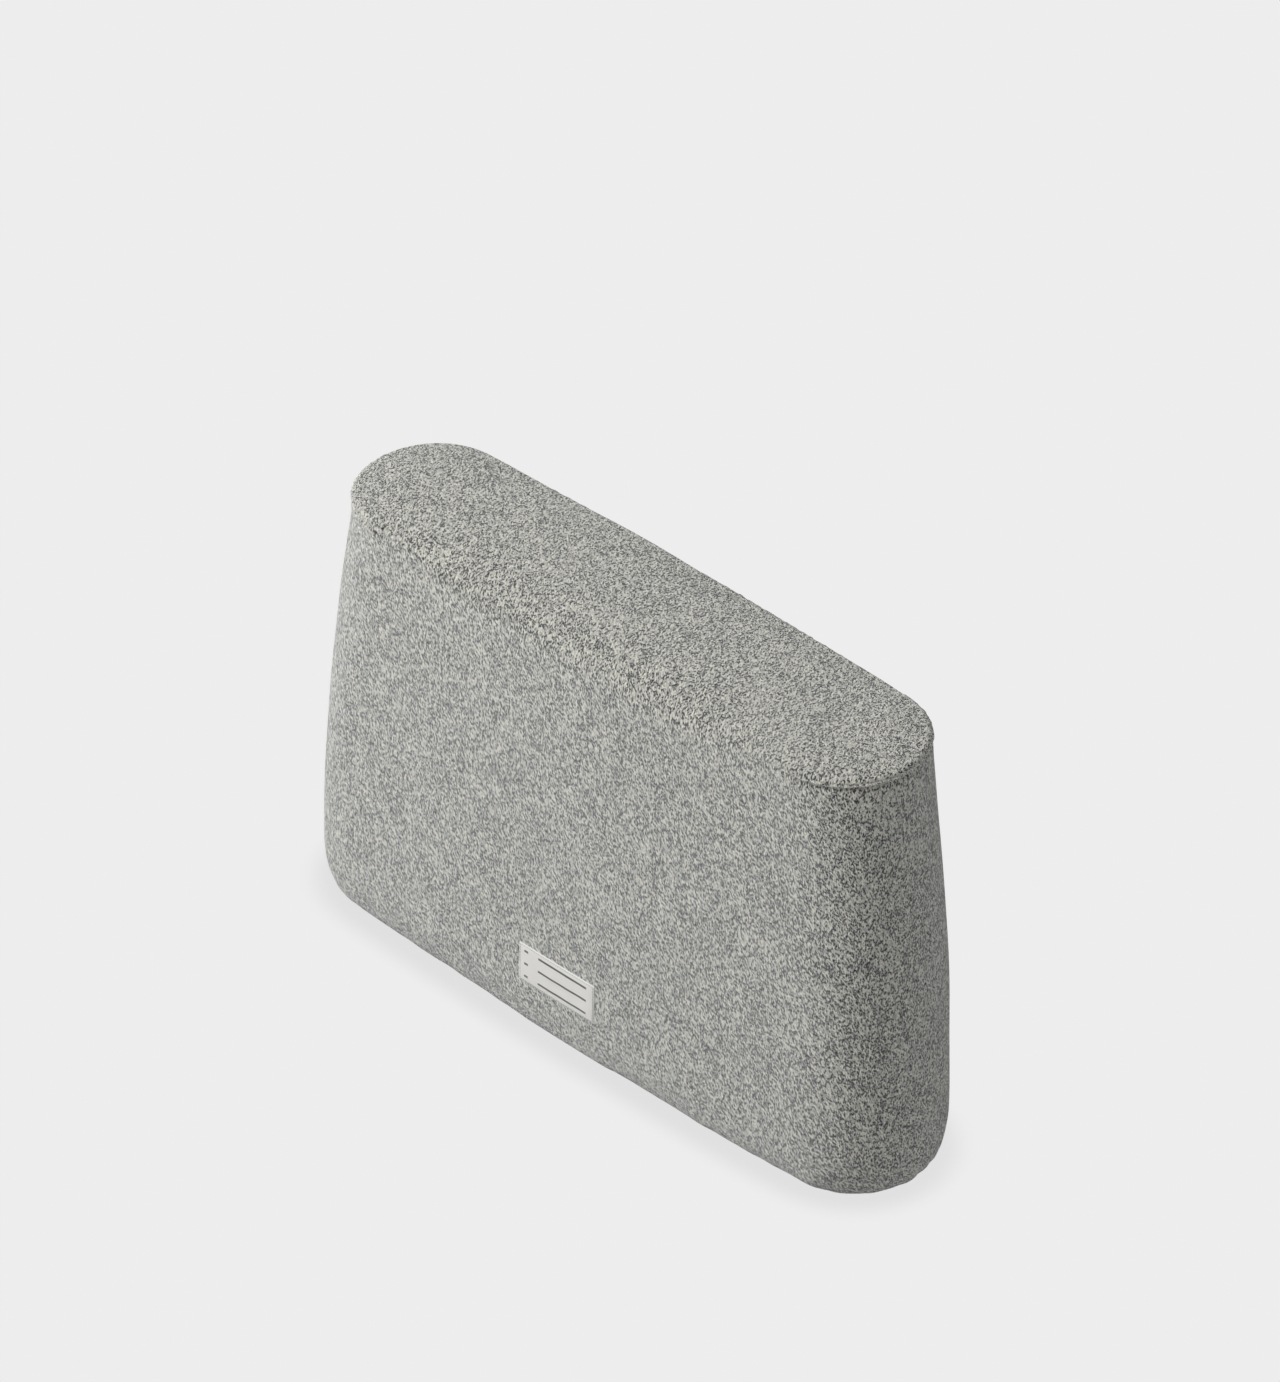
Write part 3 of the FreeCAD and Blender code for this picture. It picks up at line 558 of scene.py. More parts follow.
@dataclass(frozen=True)
class Wadding(Finish):
    """Loose polyester fibre wrap."""

    name: str = "wadding"
    light: Colour = tone(240, 240, 238)
    deep: Colour = tone(196, 197, 198)

    def surface(self, tree: Tree) -> dict[str, Value]:
        """Tangled white fibre."""
        place = tree.place(False)
        tangle = tree.noise(place, 420.0, 8.0, 0.75)
        lump = tree.noise(place, 60.0, 3.0, 0.6)
        colour = tree.blend(tree.spread(tangle, 0.35, 0.65), self.deep, self.light)
        return {"Base Color": colour, "Roughness": tree.spread(tangle, 0.3, 0.7, 0.9, 1.0),
                "Sheen Weight": 0.5, "Bump Height": tree.math("ADD", tangle, lump), "Bump Depth": 0.0015}


@dataclass(frozen=True)
class Plywood(Finish):
    """Birch plywood with a faced top and layered edges."""

    name: str = "plywood"
    pale: Colour = tone(222, 194, 150)
    late: Colour = tone(178, 140, 92)
    ply: float = 0.0013

    def surface(self, tree: Tree) -> dict[str, Value]:
        """Grain along the board on its faces and alternating plies at its edges."""
        place = tree.place(False)
        stretched = tree.vector("MULTIPLY", place, (14.0, 190.0, 190.0))
        grain = tree.noise(stretched, 1.0, 5.0, 0.6)
        parts = tree.add("ShaderNodeSeparateXYZ", {0: place})
        layer = tree.math("SINE", tree.math("MULTIPLY", parts.outputs[2], math.pi / self.ply))
        facing = tree.add("ShaderNodeSeparateXYZ", {0: tree.add("ShaderNodeNewGeometry").outputs["Normal"]})
        edge = tree.spread(tree.math("ABSOLUTE", facing.outputs[2]), 0.2, 0.8, 1.0, 0.0)
        plies = tree.math("MULTIPLY", tree.spread(layer, -0.2, 0.2), edge)
        face = tree.blend(tree.spread(grain, 0.4, 0.62), self.pale, self.late)
        colour = tree.blend(tree.math("MULTIPLY", plies, 0.7), face, tone(120, 84, 50))
        return {"Base Color": colour, "Roughness": tree.spread(grain, 0.3, 0.7, 0.55, 0.75),
                "Bump Height": tree.math("ADD", grain, tree.math("MULTIPLY", plies, 0.4)),
                "Bump Depth": 0.0002}


@dataclass(frozen=True)
class Metal(Finish):
    """Bare or plated metal with handling marks."""

    name: str
    colour: Colour
    dulled: Colour
    smooth: float = 0.32
    rough: float = 0.55
    scale: float = 900.0

    def surface(self, tree: Tree) -> dict[str, Value]:
        """Metal that is duller where it was handled."""
        marks = tree.group(WEAR.tree(), {"Vector": tree.place(False), "Scale": self.scale}).outputs
        colour = tree.blend(tree.spread(marks["Dull"], 0.35, 0.75), self.colour, self.dulled)
        rough = tree.spread(marks["Scratch"], 0.0, 1.0, self.smooth, self.rough)
        return {"Base Color": colour, "Metallic": 1.0, "Roughness": rough,
                "Bump Height": marks["Height"], "Bump Depth": 0.00004}


@dataclass(frozen=True)
class ZipTapeCloth(Finish):
    """Herringbone polyester tape."""

    name: str = "zip_tape"
    light: Colour = tone(150, 151, 149)
    deep: Colour = tone(96, 98, 98)

    def surface(self, tree: Tree) -> dict[str, Value]:
        """Slanting ribs in two greys."""
        ribs = tree.group(TWILL.tree(), {"Vector": tree.place(False)}).outputs
        colour = tree.blend(ribs["Rib"], self.deep, self.light)
        return {"Base Color": colour, "Roughness": tree.spread(ribs["Slub"], 0.2, 0.8, 0.7, 0.9),
                "Bump Height": ribs["Height"], "Bump Depth": 0.00012}


@dataclass(frozen=True)
class Nylon(Finish):
    """Smooth coil monofilament."""

    name: str = "zip_nylon"
    colour: Colour = tone(126, 128, 128)

    def surface(self, tree: Tree) -> dict[str, Value]:
        """Slightly clouded nylon."""
        cloud = tree.noise(tree.place(False), 500.0, 3.0, 0.6)
        colour = tree.blend(tree.spread(cloud, 0.3, 0.7), tone(104, 106, 107), self.colour)
        return {"Base Color": colour, "Roughness": tree.spread(cloud, 0.3, 0.7, 0.3, 0.45),
                "Coat Weight": 0.2, "Bump Height": cloud, "Bump Depth": 0.00003}


CLOTH = MelangeCloth()
# Seam lips: a paler copy of the cover cloth, with fewer and smaller dark floats, so it is a painted highlight
# along the lip; the lip is the same cloth as the cover.
SEAM_CLOTH_PAINTED_HIGHLIGHT = MelangeCloth("melange_seam_painted_highlight", dark_share=0.12, float_width=0.0012, float_length=0.0026,
                          end_swing=0.0)
BASE_CLOTH = WovenCloth("base_cloth", tone(70, 71, 72), tone(92, 93, 94))
LINER = WovenCloth("liner_cotton", tone(236, 232, 220), tone(214, 209, 196), 0.0008)
FINISHES: dict[str, Finish] = {
    "cover_cloth": CLOTH,
    "base_cloth": BASE_CLOTH,
    "grip_rubber": GripRubber(),
    "label_cloth": LabelCloth(),
    "liner_cotton": LINER,
    "wadding": Wadding(),
    "foam": Foam(),
    "plywood": Plywood(),
    "ballast_steel": Metal("ballast_steel", tone(120, 122, 126), tone(78, 74, 72), 0.42, 0.7, 300.0),
    "zinc_steel": Metal("zinc_steel", tone(196, 200, 206), tone(150, 152, 150)),
    "zip_tape": ZipTapeCloth(),
    "zip_nylon": Nylon(),
    "zip_metal": Metal("zip_metal", tone(168, 170, 172), tone(110, 110, 112), 0.22, 0.45, 1500.0),
}
THREAD = Thread()
FIRM_FOAM = Foam("firm_foam", tone(126, 130, 134), tone(84, 88, 92), 0.0008)


# ---------------------------------------------------------------- the cushion's form


def ease(value: Array, low: float, high: float) -> Array:
    """0 below low, 1 above high and a smooth step between."""
    share = np.clip((value - low) / (high - low), 0, 1)
    return share * share * (3 - 2 * share)


class Zone(Enum):
    """Stretches up the cushion's side."""

    HEM = 0     # turned under the foot
    FOOT = 1    # from the floor to the belly
    WALL = 2    # from the belly to the rim
    CROWN = 3   # from the rim to the top's middle line


class Reach(Enum):
    """Stretches round the cushion."""

    FACE = 0    # front or back, between the two seam lines
    STRIP = 1   # from a seam line to where the end begins to turn
    END = 2


class Side(Enum):
    """The two ends of the cushion."""

    LEFT = -1
    RIGHT = 1


@dataclass
class Rows:
    """Places up the form: a zone and the share of the way through it."""

    zone: Array
    share: Array

    @classmethod
    def of(cls, stretches: dict[Zone, Array]) -> "Rows":
        """Rows of each zone in turn, as a column that spreads over a grid."""
        zone = np.concatenate([np.full(len(s), z.value) for z, s in stretches.items()])
        share = np.concatenate([np.asarray(s, float) for s in stretches.values()])
        return cls(zone[:, None], share[:, None])


@dataclass
class Columns:
    """Places round the form: a stretch, the share of the way along it, and which one it is."""

    reach: Array
    share: Array
    side: Array
    face: Array

    @classmethod
    def of(cls, stretches: list[tuple[Reach, Array, int, int]]) -> "Columns":
        """Columns of each stretch in turn.

        Args:
            stretches: Kind, shares, side (-1 left, 1 right) and face (-1 front, 1 back).

        Returns:
            The columns, in one row that spreads over a grid.
        """
        def laid(values: list[Array]) -> Array:
            """One value for each column."""
            return np.concatenate(values)[None, :]

        return cls(laid([np.full(len(s), r.value) for r, s, _, _ in stretches]),
                   laid([np.asarray(s, float) for _, s, _, _ in stretches]),
                   laid([np.full(len(s), side) for _, s, side, _ in stretches]),
                   laid([np.full(len(s), face) for _, s, _, face in stretches]))

    @classmethod
    def whole(cls, face: Array, strips: int, ends: int) -> "Columns":
        """Columns all the way round, from the front's left seam line and to the right.

        Args:
            face: Shares across the front and back, from -1 to 1.
            strips: Columns in each strip.
            ends: Columns round each end.

        Returns:
            The closed ring of columns.
        """
        strip, end = (np.arange(n) / n for n in (strips, ends))
        across = face[:-1]
        return cls.of([
            (Reach.FACE, across, 1, -1), (Reach.STRIP, strip, 1, -1), (Reach.END, end, 1, 1),
            (Reach.STRIP, 1 - strip, 1, 1), (Reach.FACE, -across, 1, 1), (Reach.STRIP, strip, -1, 1),
            (Reach.END, 1 - end, -1, 1), (Reach.STRIP, 1 - strip, -1, -1)])

    def coordinate(self) -> Array:
        """Steady count round the ring: one for each stretch, with shares between."""
        change = np.flatnonzero(np.diff(self.reach[0]) != 0) + 1
        starts = np.concatenate([[0], change, [self.reach.shape[1]]])
        return np.concatenate([i + np.arange(b - a) / (b - a)
                               for i, (a, b) in enumerate(zip(starts[:-1], starts[1:]))])


@dataclass
class Sheet:
    """A grid of points on the form, with the cloth's own metres at each."""

    points: Array
    around: Array
    up: Array
    flap_around: Array
    flap_up: Array

    def normals(self) -> Array:
        """Outward unit normals by differences over a closed ring of columns."""
        across = np.roll(self.points, -1, 1) - np.roll(self.points, 1, 1)
        upward = np.gradient(self.points, axis=0)
        crossed = np.cross(across, upward)
        length = np.linalg.norm(crossed, axis=2, keepdims=True)
        found = crossed / np.maximum(length, 1e-12)
        found[-1] = (0.0, 0.0, 1.0)
        return found


@dataclass
class CushionForm:
    """The filled cover's outside: level ovals of four arcs whose sizes change with height."""

    half_length: float
    half_depth: float
    rim_half_length: float
    rim_half_depth: float
    rim: float
    top: float
    seam_place: float
    setback: float = 0.009
    belly: float = 0.051
    belly_bow: float = 0.009
    rim_bow: float = 0.006
    foot_inset: float = 0.018
    wall_curve: float = 1.7
    hem_turn: float = 0.004
    hem_lift: float = 0.0012
    soft_rise: float = 0.033      # drop over which the front's top edge rolls over
    soft_ends: float = 0.120      # where along the front that roll begins to tighten to a seam
    crown_power: float = 3.0

    @classmethod
    def from_frame(cls) -> "CushionForm":
        """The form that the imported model's boxes give."""
        low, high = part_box("cover_main_panel")
        end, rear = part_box("top_seam_right")[1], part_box("top_seam_back")[1]
        return cls(half_length=high.x, half_depth=-low.y, rim_half_length=end.x - Seams.proud,
                   rim_half_depth=rear.y - Seams.proud - cls.setback, rim=end.z, top=high.z,
                   seam_place=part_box("cover_back_panel")[1].x)

    def rises(self, columns: Columns) -> Array:
        """Height of the top above the rim at each column."""
        on_front = (columns.reach == Reach.FACE.value) & (columns.face < 0)
        soft = 1 - ease(np.abs(columns.share) * self.seam_place, self.soft_ends, self.seam_place)
        seam_rise = self.top - self.rim
        return seam_rise + (self.soft_rise - seam_rise) * np.where(on_front, soft, 0.0)

    def sheet(self, rows: Rows, columns: Columns, inset: float = 0.0) -> Sheet:
        """Points of the form.

        Args:
            rows: Places up it.
            columns: Places round it.
            inset: How far inside the form's surface the points lie.

        Returns:
            The grid of points with the cloth's metres.
        """
        zone, share = rows.zone, rows.share
        rise = self.rises(columns)
        start = self.top - rise - inset
        run = np.where(zone == Zone.CROWN.value, share, 0.0) ** 1.8
        tall = self.belly + np.where(zone == Zone.WALL.value, share, 1.0) * (start - self.belly)
        level = np.where(zone == Zone.CROWN.value,
                         start + rise * np.sqrt(1 - (1 - run) ** self.crown_power), tall)
        turn = np.where(zone == Zone.FOOT.value, share, 0.0) * (math.pi / 2)
        low = zone <= Zone.FOOT.value
        hem = np.where(zone == Zone.HEM.value, share, 0.0)
        turn = np.where(zone == Zone.HEM.value, math.pi / 2, turn)
        level = np.where(low, self.belly * (1 - np.sin(turn)) + self.hem_lift * hem, level)
        gone = self.foot_inset * (1 - np.cos(turn)) + self.hem_turn * hem
        part = np.where(low, 0.0, (level - self.belly) / (self.rim - self.belly))
        drawn = np.maximum(part, 0) ** self.wall_curve
        length = self.half_length + (self.rim_half_length - self.half_length) * drawn - gone - inset
        depth = self.half_depth + (self.rim_half_depth - self.half_depth) * drawn - gone - inset
        bow = (self.belly_bow + (self.rim_bow - self.belly_bow) * drawn) * (1 - run)
        return self.lay_out(level, length, depth, np.maximum(bow, 1e-7), self.setback * part, run, columns)

    def lay_out(self, level: Array, length: Array, depth: Array, bow: Array, back: Array, run: Array,
                columns: Columns) -> Sheet:
        """Places points on the level ovals.

        Args:
            level: Height of each point.
            length: Half length of its oval before the crown draws it in.
            depth: Half depth likewise.
            bow: Bulge of its long faces.
            back: How far its oval is set back.
            run: Share of the way across the crown, 0 below it.
            columns: Places round the oval.

        Returns:
            The grid of points with the cloth's metres.
        """
        inward = run * depth
        length, depth = length - inward, depth - inward
        radius = np.maximum(depth - bow, 1e-6)
        centre = length - radius
        large = (centre ** 2 + depth ** 2 - radius ** 2) / (2 * bow)
        turn = np.arcsin(np.clip(centre / (large - radius), -1, 1))
        face_end = large * np.sin(turn)
        narrow = 1 - (self.rim_half_length - self.rim_half_depth) / (self.seam_place + 0.0035)
        seam = self.seam_place * (1 - narrow * run)
        reach, share, side, face = columns.reach, columns.share, columns.side, columns.face
        x_face = np.where(reach == Reach.FACE.value, share * seam, side * (seam + share * (face_end - seam)))
        y_face = face * (depth - x_face ** 2 / (large + np.sqrt(large ** 2 - x_face ** 2)))
        angle = turn + share * (math.pi - 2 * turn)
        at_end = reach == Reach.END.value
        x = np.where(at_end, side * (centre + radius * np.sin(angle)), x_face)
        y = np.where(at_end, -radius * np.cos(angle), y_face) + back
        points = np.stack(np.broadcast_arrays(x, y, level), axis=2)
        round_end = radius * (math.pi - 2 * turn)
        behind = np.where(face > 0, side * (2 * face_end + round_end - np.abs(x_face)), x_face)
        behind = np.where((reach == Reach.FACE.value) & (face > 0), -x_face, behind)
        around = np.where(at_end, side * (face_end + radius * (angle - turn)), behind)
        step = np.linalg.norm(np.diff(points, axis=0), axis=2)
        up = np.vstack([np.zeros((1, points.shape[1])), np.cumsum(step, axis=0)])
        return Sheet(points, np.broadcast_to(around, up.shape).copy(), up, points[:, :, 0].copy(), up)

    def at_level(self, height: Array, columns: Columns, inset: float = 0.0) -> Sheet:
        """Points of the form at given heights above its belly.

        Args:
            height: Heights, one for each row or for each point.
            columns: Places round it.
            inset: How far inside the form's surface the points lie.

        Returns:
            The grid of points with the cloth's metres.
        """
        rise = self.rises(columns)
        start = self.top - rise - inset
        in_wall = height <= start
        wall = (height - self.belly) / (start - self.belly)
        lifted = np.clip((height - start) / rise, 0, 1)
        crown = (1 - (1 - lifted ** 2) ** (1 / self.crown_power)) ** (1 / 1.8)
        zone = np.where(in_wall, Zone.WALL.value, Zone.CROWN.value)
        return self.sheet(Rows(zone, np.where(in_wall, wall, crown)), columns, inset)


# ---------------------------------------------------------------- mesh helpers


def make_piece(name: str, points: Array, faces: list[tuple[int, ...]] | Array, finish: Finish,
               uv: Array | None = None) -> bpy.types.Object:
    """Makes a smooth-shaded mesh piece.

    Args:
        name: The piece's name.
        points: Its points, one to a row.
        faces: Its faces as point numbers.
        finish: Its material.
        uv: The cloth's metres at each face corner, in face order.

    Returns:
        The new object.
    """
    mesh = bpy.data.meshes.new(name)
    mesh.from_pydata(np.asarray(points).tolist(), [], [list(map(int, f)) for f in faces])
    if uv is not None:
        layer = mesh.uv_layers.new(name=WEAVE_MAP)
        layer.data.foreach_set("uv", np.asarray(uv, np.float32).ravel())
    mesh.materials.append(finish.material())
    mesh.shade_smooth()
    piece = bpy.data.objects.new(name, mesh)
    bpy.context.scene.collection.objects.link(piece)
    return piece


def patch(name: str, sheet: Sheet, shown: Array, finish: Finish, crown_from: int | None = None,
          closed: bool = True) -> bpy.types.Object:
    """Makes a piece of the cells of a sheet that are shown.

    Args:
        name: The piece's name.
        sheet: The grid of points.
        shown: Whether each cell between rows and columns is part of the piece.
        finish: Its material.
        crown_from: First row whose cells lie on the top flap's own map.
        closed: Whether the last column joins the first.

    Returns:
        The new object.
    """
    rows, columns = sheet.points.shape[:2]
    i, j = np.nonzero(shown)
    after = (j + 1) % columns if closed else j + 1
    corners = np.stack([i * columns + j, i * columns + after, (i + 1) * columns + after,
                        (i + 1) * columns + j], axis=1)
    flat = np.stack([sheet.around, sheet.up], axis=2).reshape(-1, 2)
    flap = np.stack([sheet.flap_around, sheet.flap_up], axis=2).reshape(-1, 2)
    on_flap = i >= (rows if crown_from is None else crown_from)
    uv = np.where(on_flap[:, None, None], flap[corners], flat[corners])
    used, faces = np.unique(corners, return_inverse=True)
    return make_piece(name, sheet.points.reshape(-1, 3)[used], faces.reshape(corners.shape), finish, uv)


def weld(piece: bpy.types.Object, distance: float = 1e-5) -> None:
    """Joins points of a piece that lie together, and drops faces that this closes up."""
    work = bmesh.new()
    work.from_mesh(piece.data)
    bmesh.ops.remove_doubles(work, verts=work.verts, dist=distance)
    bmesh.ops.dissolve_degenerate(work, dist=distance, edges=work.edges)
    work.to_mesh(piece.data)
    work.free()


def thicken(piece: bpy.types.Object, thickness: float) -> None:
    """Gives a sheet its thickness, inward."""
    solid = piece.modifiers.new("thickness", "SOLIDIFY")
    solid.thickness, solid.offset, solid.use_even_offset = thickness, -1.0, True


def sweep(name: str, path: Array, outward: Array, section: Array, finish: Finish,
          scale: Array | None = None) -> bpy.types.Object:
    """Draws a closed section along a path.

    Args:
        name: The piece's name.
        path: Points of the path.
        outward: Direction of the section's first axis at each point.
        section: The section's corners in metres, anticlockwise.
        finish: Its material.
        scale: Size of the section at each point, 1 where not given.

    Returns:
        The new object, closed at both ends.
    """
    along = np.gradient(path, axis=0)
    along /= np.linalg.norm(along, axis=1, keepdims=True)
    side = np.cross(outward, along)
    side /= np.linalg.norm(side, axis=1, keepdims=True)
    outward = np.cross(along, side)
    size = np.ones(len(path)) if scale is None else scale
    ring = (path[:, None] + size[:, None, None] * (section[None, :, :1] * outward[:, None]
                                                   + section[None, :, 1:] * side[:, None]))
    count, corners = len(path), len(section)
    i, j = (a.ravel() for a in np.meshgrid(np.arange(count - 1), np.arange(corners), indexing="ij"))
    after = (j + 1) % corners
    quads = np.stack([i * corners + j, i * corners + after, (i + 1) * corners + after,
                      (i + 1) * corners + j], axis=1)
    faces = [tuple(q) for q in quads] + [tuple(range(corners))[::-1],
                                         tuple((count - 1) * corners + k for k in range(corners))]
    run = np.concatenate([[0], np.cumsum(np.linalg.norm(np.diff(path, axis=0), axis=1))])
    girth = np.concatenate([[0], np.cumsum(np.linalg.norm(
        np.roll(section, -1, 0) - section, axis=1))])
    uv = np.stack([np.stack([run[i], girth[j]], 1), np.stack([run[i], girth[j + 1]], 1),
                   np.stack([run[i + 1], girth[j + 1]], 1), np.stack([run[i + 1], girth[j]], 1)], 1)
    caps = np.stack([np.tile(section[::-1], 1), section]) if corners else None
    corner_uv = np.concatenate([uv.reshape(-1, 2), caps.reshape(-1, 2)])
    return make_piece(name, ring.reshape(-1, 3), faces, finish, corner_uv)


def oval_section(reach: float, half_height: float, corners: int = 10) -> Array:
    """Corners of an oval section, its first axis outward."""
    turn = np.arange(corners) * (math.tau / corners)
    return np.stack([reach * np.cos(turn), half_height * np.sin(turn)], axis=1)


def stitch_line(name: str, path: Array, outward: Array, pitch: float, thread: float,
                share: float = 0.68) -> bpy.types.Object:
    """A row of short stitches that dip into the cloth at both ends.

    Args:
        name: The piece's name.
        path: Points of the sewn line.
        outward: Direction out of the cloth at each point.
        pitch: From one stitch to the next.
        thread: The thread's thickness.
        share: Part of the pitch that one stitch covers.

    Returns:
        The stitches as one piece.
    """
    run = np.concatenate([[0], np.cumsum(np.linalg.norm(np.diff(path, axis=0), axis=1))])
    count = max(int(run[-1] / pitch), 1)
    steps, corners = 5, 6
    arch = np.sin(np.linspace(0, math.pi, steps))
    points, faces = [], []
    for index in range(count):
        places = (index + np.linspace(0.5 - share / 2, 0.5 + share / 2, steps)) * (run[-1] / count)
        spine = np.stack([np.interp(places, run, path[:, k]) for k in range(3)], axis=1)
        lift = np.stack([np.interp(places, run, outward[:, k]) for k in range(3)], axis=1)
        spine = spine + lift * (thread * (0.55 * arch - 0.25))[:, None]
        along = np.gradient(spine, axis=0)
        side = np.cross(lift, along)
        side /= np.linalg.norm(side, axis=1, keepdims=True)
        base = len(points) * corners
        for place, up, over in zip(spine, lift, side):
            turn = np.arange(corners) * (math.tau / corners)
            points.append(place + thread / 2 * (np.cos(turn)[:, None] * up + np.sin(turn)[:, None] * over))
        for i in range(steps - 1):
            for k in range(corners):
                low, after = base + i * corners, (k + 1) % corners
                faces.append((low + k, low + after, low + corners + after, low + corners + k))
        faces.append(tuple(base + k for k in range(corners))[::-1])
        faces.append(tuple(base + (steps - 1) * corners + k for k in range(corners)))
    return make_piece(name, np.concatenate(points), faces, THREAD)


@dataclass
class Ripple:
    """Smooth repeatable unevenness over a surface, the sum of plane waves in random directions."""

    wavelength: float
    seed: int
    waves: int = 14

    def value(self, first: Array, second: Array) -> Array:
        """Unevenness from about -1 to 1.

        Args:
            first: Metres along the surface.
            second: Metres up the surface.

        Returns:
            The unevenness at each place.
        """
        draw = np.random.default_rng(self.seed)
        total = np.zeros(np.broadcast(first, second).shape)
        for _ in range(self.waves):
            turn, phase = draw.uniform(0, math.tau, 2)
            pace = math.tau / (self.wavelength * draw.uniform(0.7, 1.6))
            total += np.sin(pace * (np.cos(turn) * first + np.sin(turn) * second) + phase)
        return total / math.sqrt(self.waves)


# ---------------------------------------------------------------- cover


@dataclass
class Settling:
    """Cloth simulation that lets the cover's fullness settle into its seams."""

    face_columns: int = 56
    strips: int = 2
    end_columns: int = 40
    foot_rows: int = 9
    wall_rows: int = 44
    crown_rows: int = 12
    frames: int = 18
    pressure: float = 4.0
    fullness: float = 0.045     # spare cloth gathered into the foot and the end seams
    cap: float = 0.0035         # furthest that a point may move
    gather: float = 0.050       # height over which the foot is gathered

    def run(self, form: CushionForm, rows: Rows, columns: Columns) -> Array:
        """Settles a coarse cover and carries its movement to a finer grid.

        Args:
            form: The cover's form.
            rows: Rows of the finer grid.
            columns: Columns of the finer grid.

        Returns:
            How far each point of the finer grid moves outward.
        """
        shares = [np.linspace(1, 0, self.foot_rows), np.linspace(0, 1, self.wall_rows)[1:],
                  np.linspace(0, 1, self.crown_rows)[1:]]
        coarse_rows = Rows.of(dict(zip((Zone.FOOT, Zone.WALL, Zone.CROWN), shares)))
        coarse = Columns.whole(np.linspace(-1, 1, self.face_columns + 1), self.strips, self.end_columns)
        sheet = form.sheet(coarse_rows, coarse)
        moved = self.simulate(sheet, coarse_rows, coarse, form.rim)
        outward = np.clip(np.sum((moved - sheet.points) * sheet.normals(), axis=2), -self.cap, self.cap)
        detail = outward - self.blur(outward, 6)
        return self.carried(detail, coarse_rows, coarse, rows, columns)

    def simulate(self, sheet: Sheet, rows: Rows, columns: Columns, rim: float) -> Array:
        """Runs the simulation on its own copy and removes it.

        Args:
            sheet: The coarse grid.
            rows: Its rows.
            columns: Its columns.
            rim: Height of the seam, which stays where it is.

        Returns:
            The grid's points after settling.
        """
        shape = sheet.points.shape
        shown = np.ones((shape[0] - 1, shape[1]), bool)
        cloth = patch("settling_cloth", sheet, shown, CLOTH)
        height = sheet.points[:, :, 2]
        at_seam = np.abs(height - rim) < 0.1 * MM
        held = 0.10 + 0.5 * ease(height, self.gather, 3 * self.gather)
        held = np.where(at_seam | (height < 0.002) | (rows.zone == Zone.CROWN.value), 1.0, held)
        full = 1 - ease(height, 0.4 * self.gather, self.gather)
        ends = np.where(columns.reach == Reach.FACE.value, 0.35, 1.0)
        pins = cloth.vertex_groups.new(name="held")
        gathers = cloth.vertex_groups.new(name="gathered")
        for index, (pin, gather) in enumerate(zip(held.ravel(), (full * ends).ravel())):
            pins.add([index], float(pin), "REPLACE")
            gathers.add([index], float(gather), "REPLACE")
        settings = cloth.modifiers.new("cloth", "CLOTH").settings
        settings.quality, settings.mass = 5, 0.25
        settings.tension_stiffness = settings.compression_stiffness = 20.0
        settings.shear_stiffness, settings.bending_stiffness = 8.0, 0.35
        settings.vertex_group_mass, settings.pin_stiffness = "held", 0.6
        settings.vertex_group_shrink = "gathered"
        settings.shrink_min = 0.0
        settings.shrink_max = -self.fullness
        settings.use_pressure, settings.uniform_pressure_force = True, self.pressure
        settings.effector_weights.gravity = 0.0
        scene = bpy.context.scene
        for step in range(1, self.frames + 1):
            scene.frame_set(step)
        view = cloth.evaluated_get(bpy.context.evaluated_depsgraph_get())
        places = np.zeros(len(view.data.vertices) * 3)
        view.data.vertices.foreach_get("co", places)
        bpy.data.objects.remove(cloth)
        scene.frame_set(1)
        return places.reshape(shape)

    def blur(self, values: Array, passes: int) -> Array:
        """Values averaged with their neighbours a number of times."""
        for _ in range(passes):
            padded = np.vstack([values[:1], values, values[-1:]])
            values = (np.roll(values, 1, 1) + np.roll(values, -1, 1) + padded[:-2] + padded[2:]) / 4
        return values

    def carried(self, values: Array, rows: Rows, columns: Columns, to_rows: Rows,
                to_columns: Columns) -> Array:
        """Values of the coarse grid read at the finer grid's places.

        Args:
            values: One value for each coarse point.
            rows: Coarse rows.
            columns: Coarse columns.
            to_rows: Finer rows.
            to_columns: Finer columns.

        Returns:
            One value for each finer point.
        """
        def steady(given: Rows) -> Array:
            """A count that rises from the floor to the top."""
            way = np.where(given.zone <= Zone.FOOT.value, 1 - given.share, given.share)
            way = np.where(given.zone == Zone.HEM.value, -1.0, way)
            return (given.zone + way).ravel()

        ring, target = columns.coordinate(), to_columns.coordinate()
        closed = np.append(ring, 8.0)
        across = np.stack([np.interp(target, closed, np.append(line, line[0])) for line in values])
        levels, wanted = steady(rows), steady(to_rows)
        found = np.stack([np.interp(wanted, levels, line) for line in across.T], axis=1)
        return self.blur(found, 2)


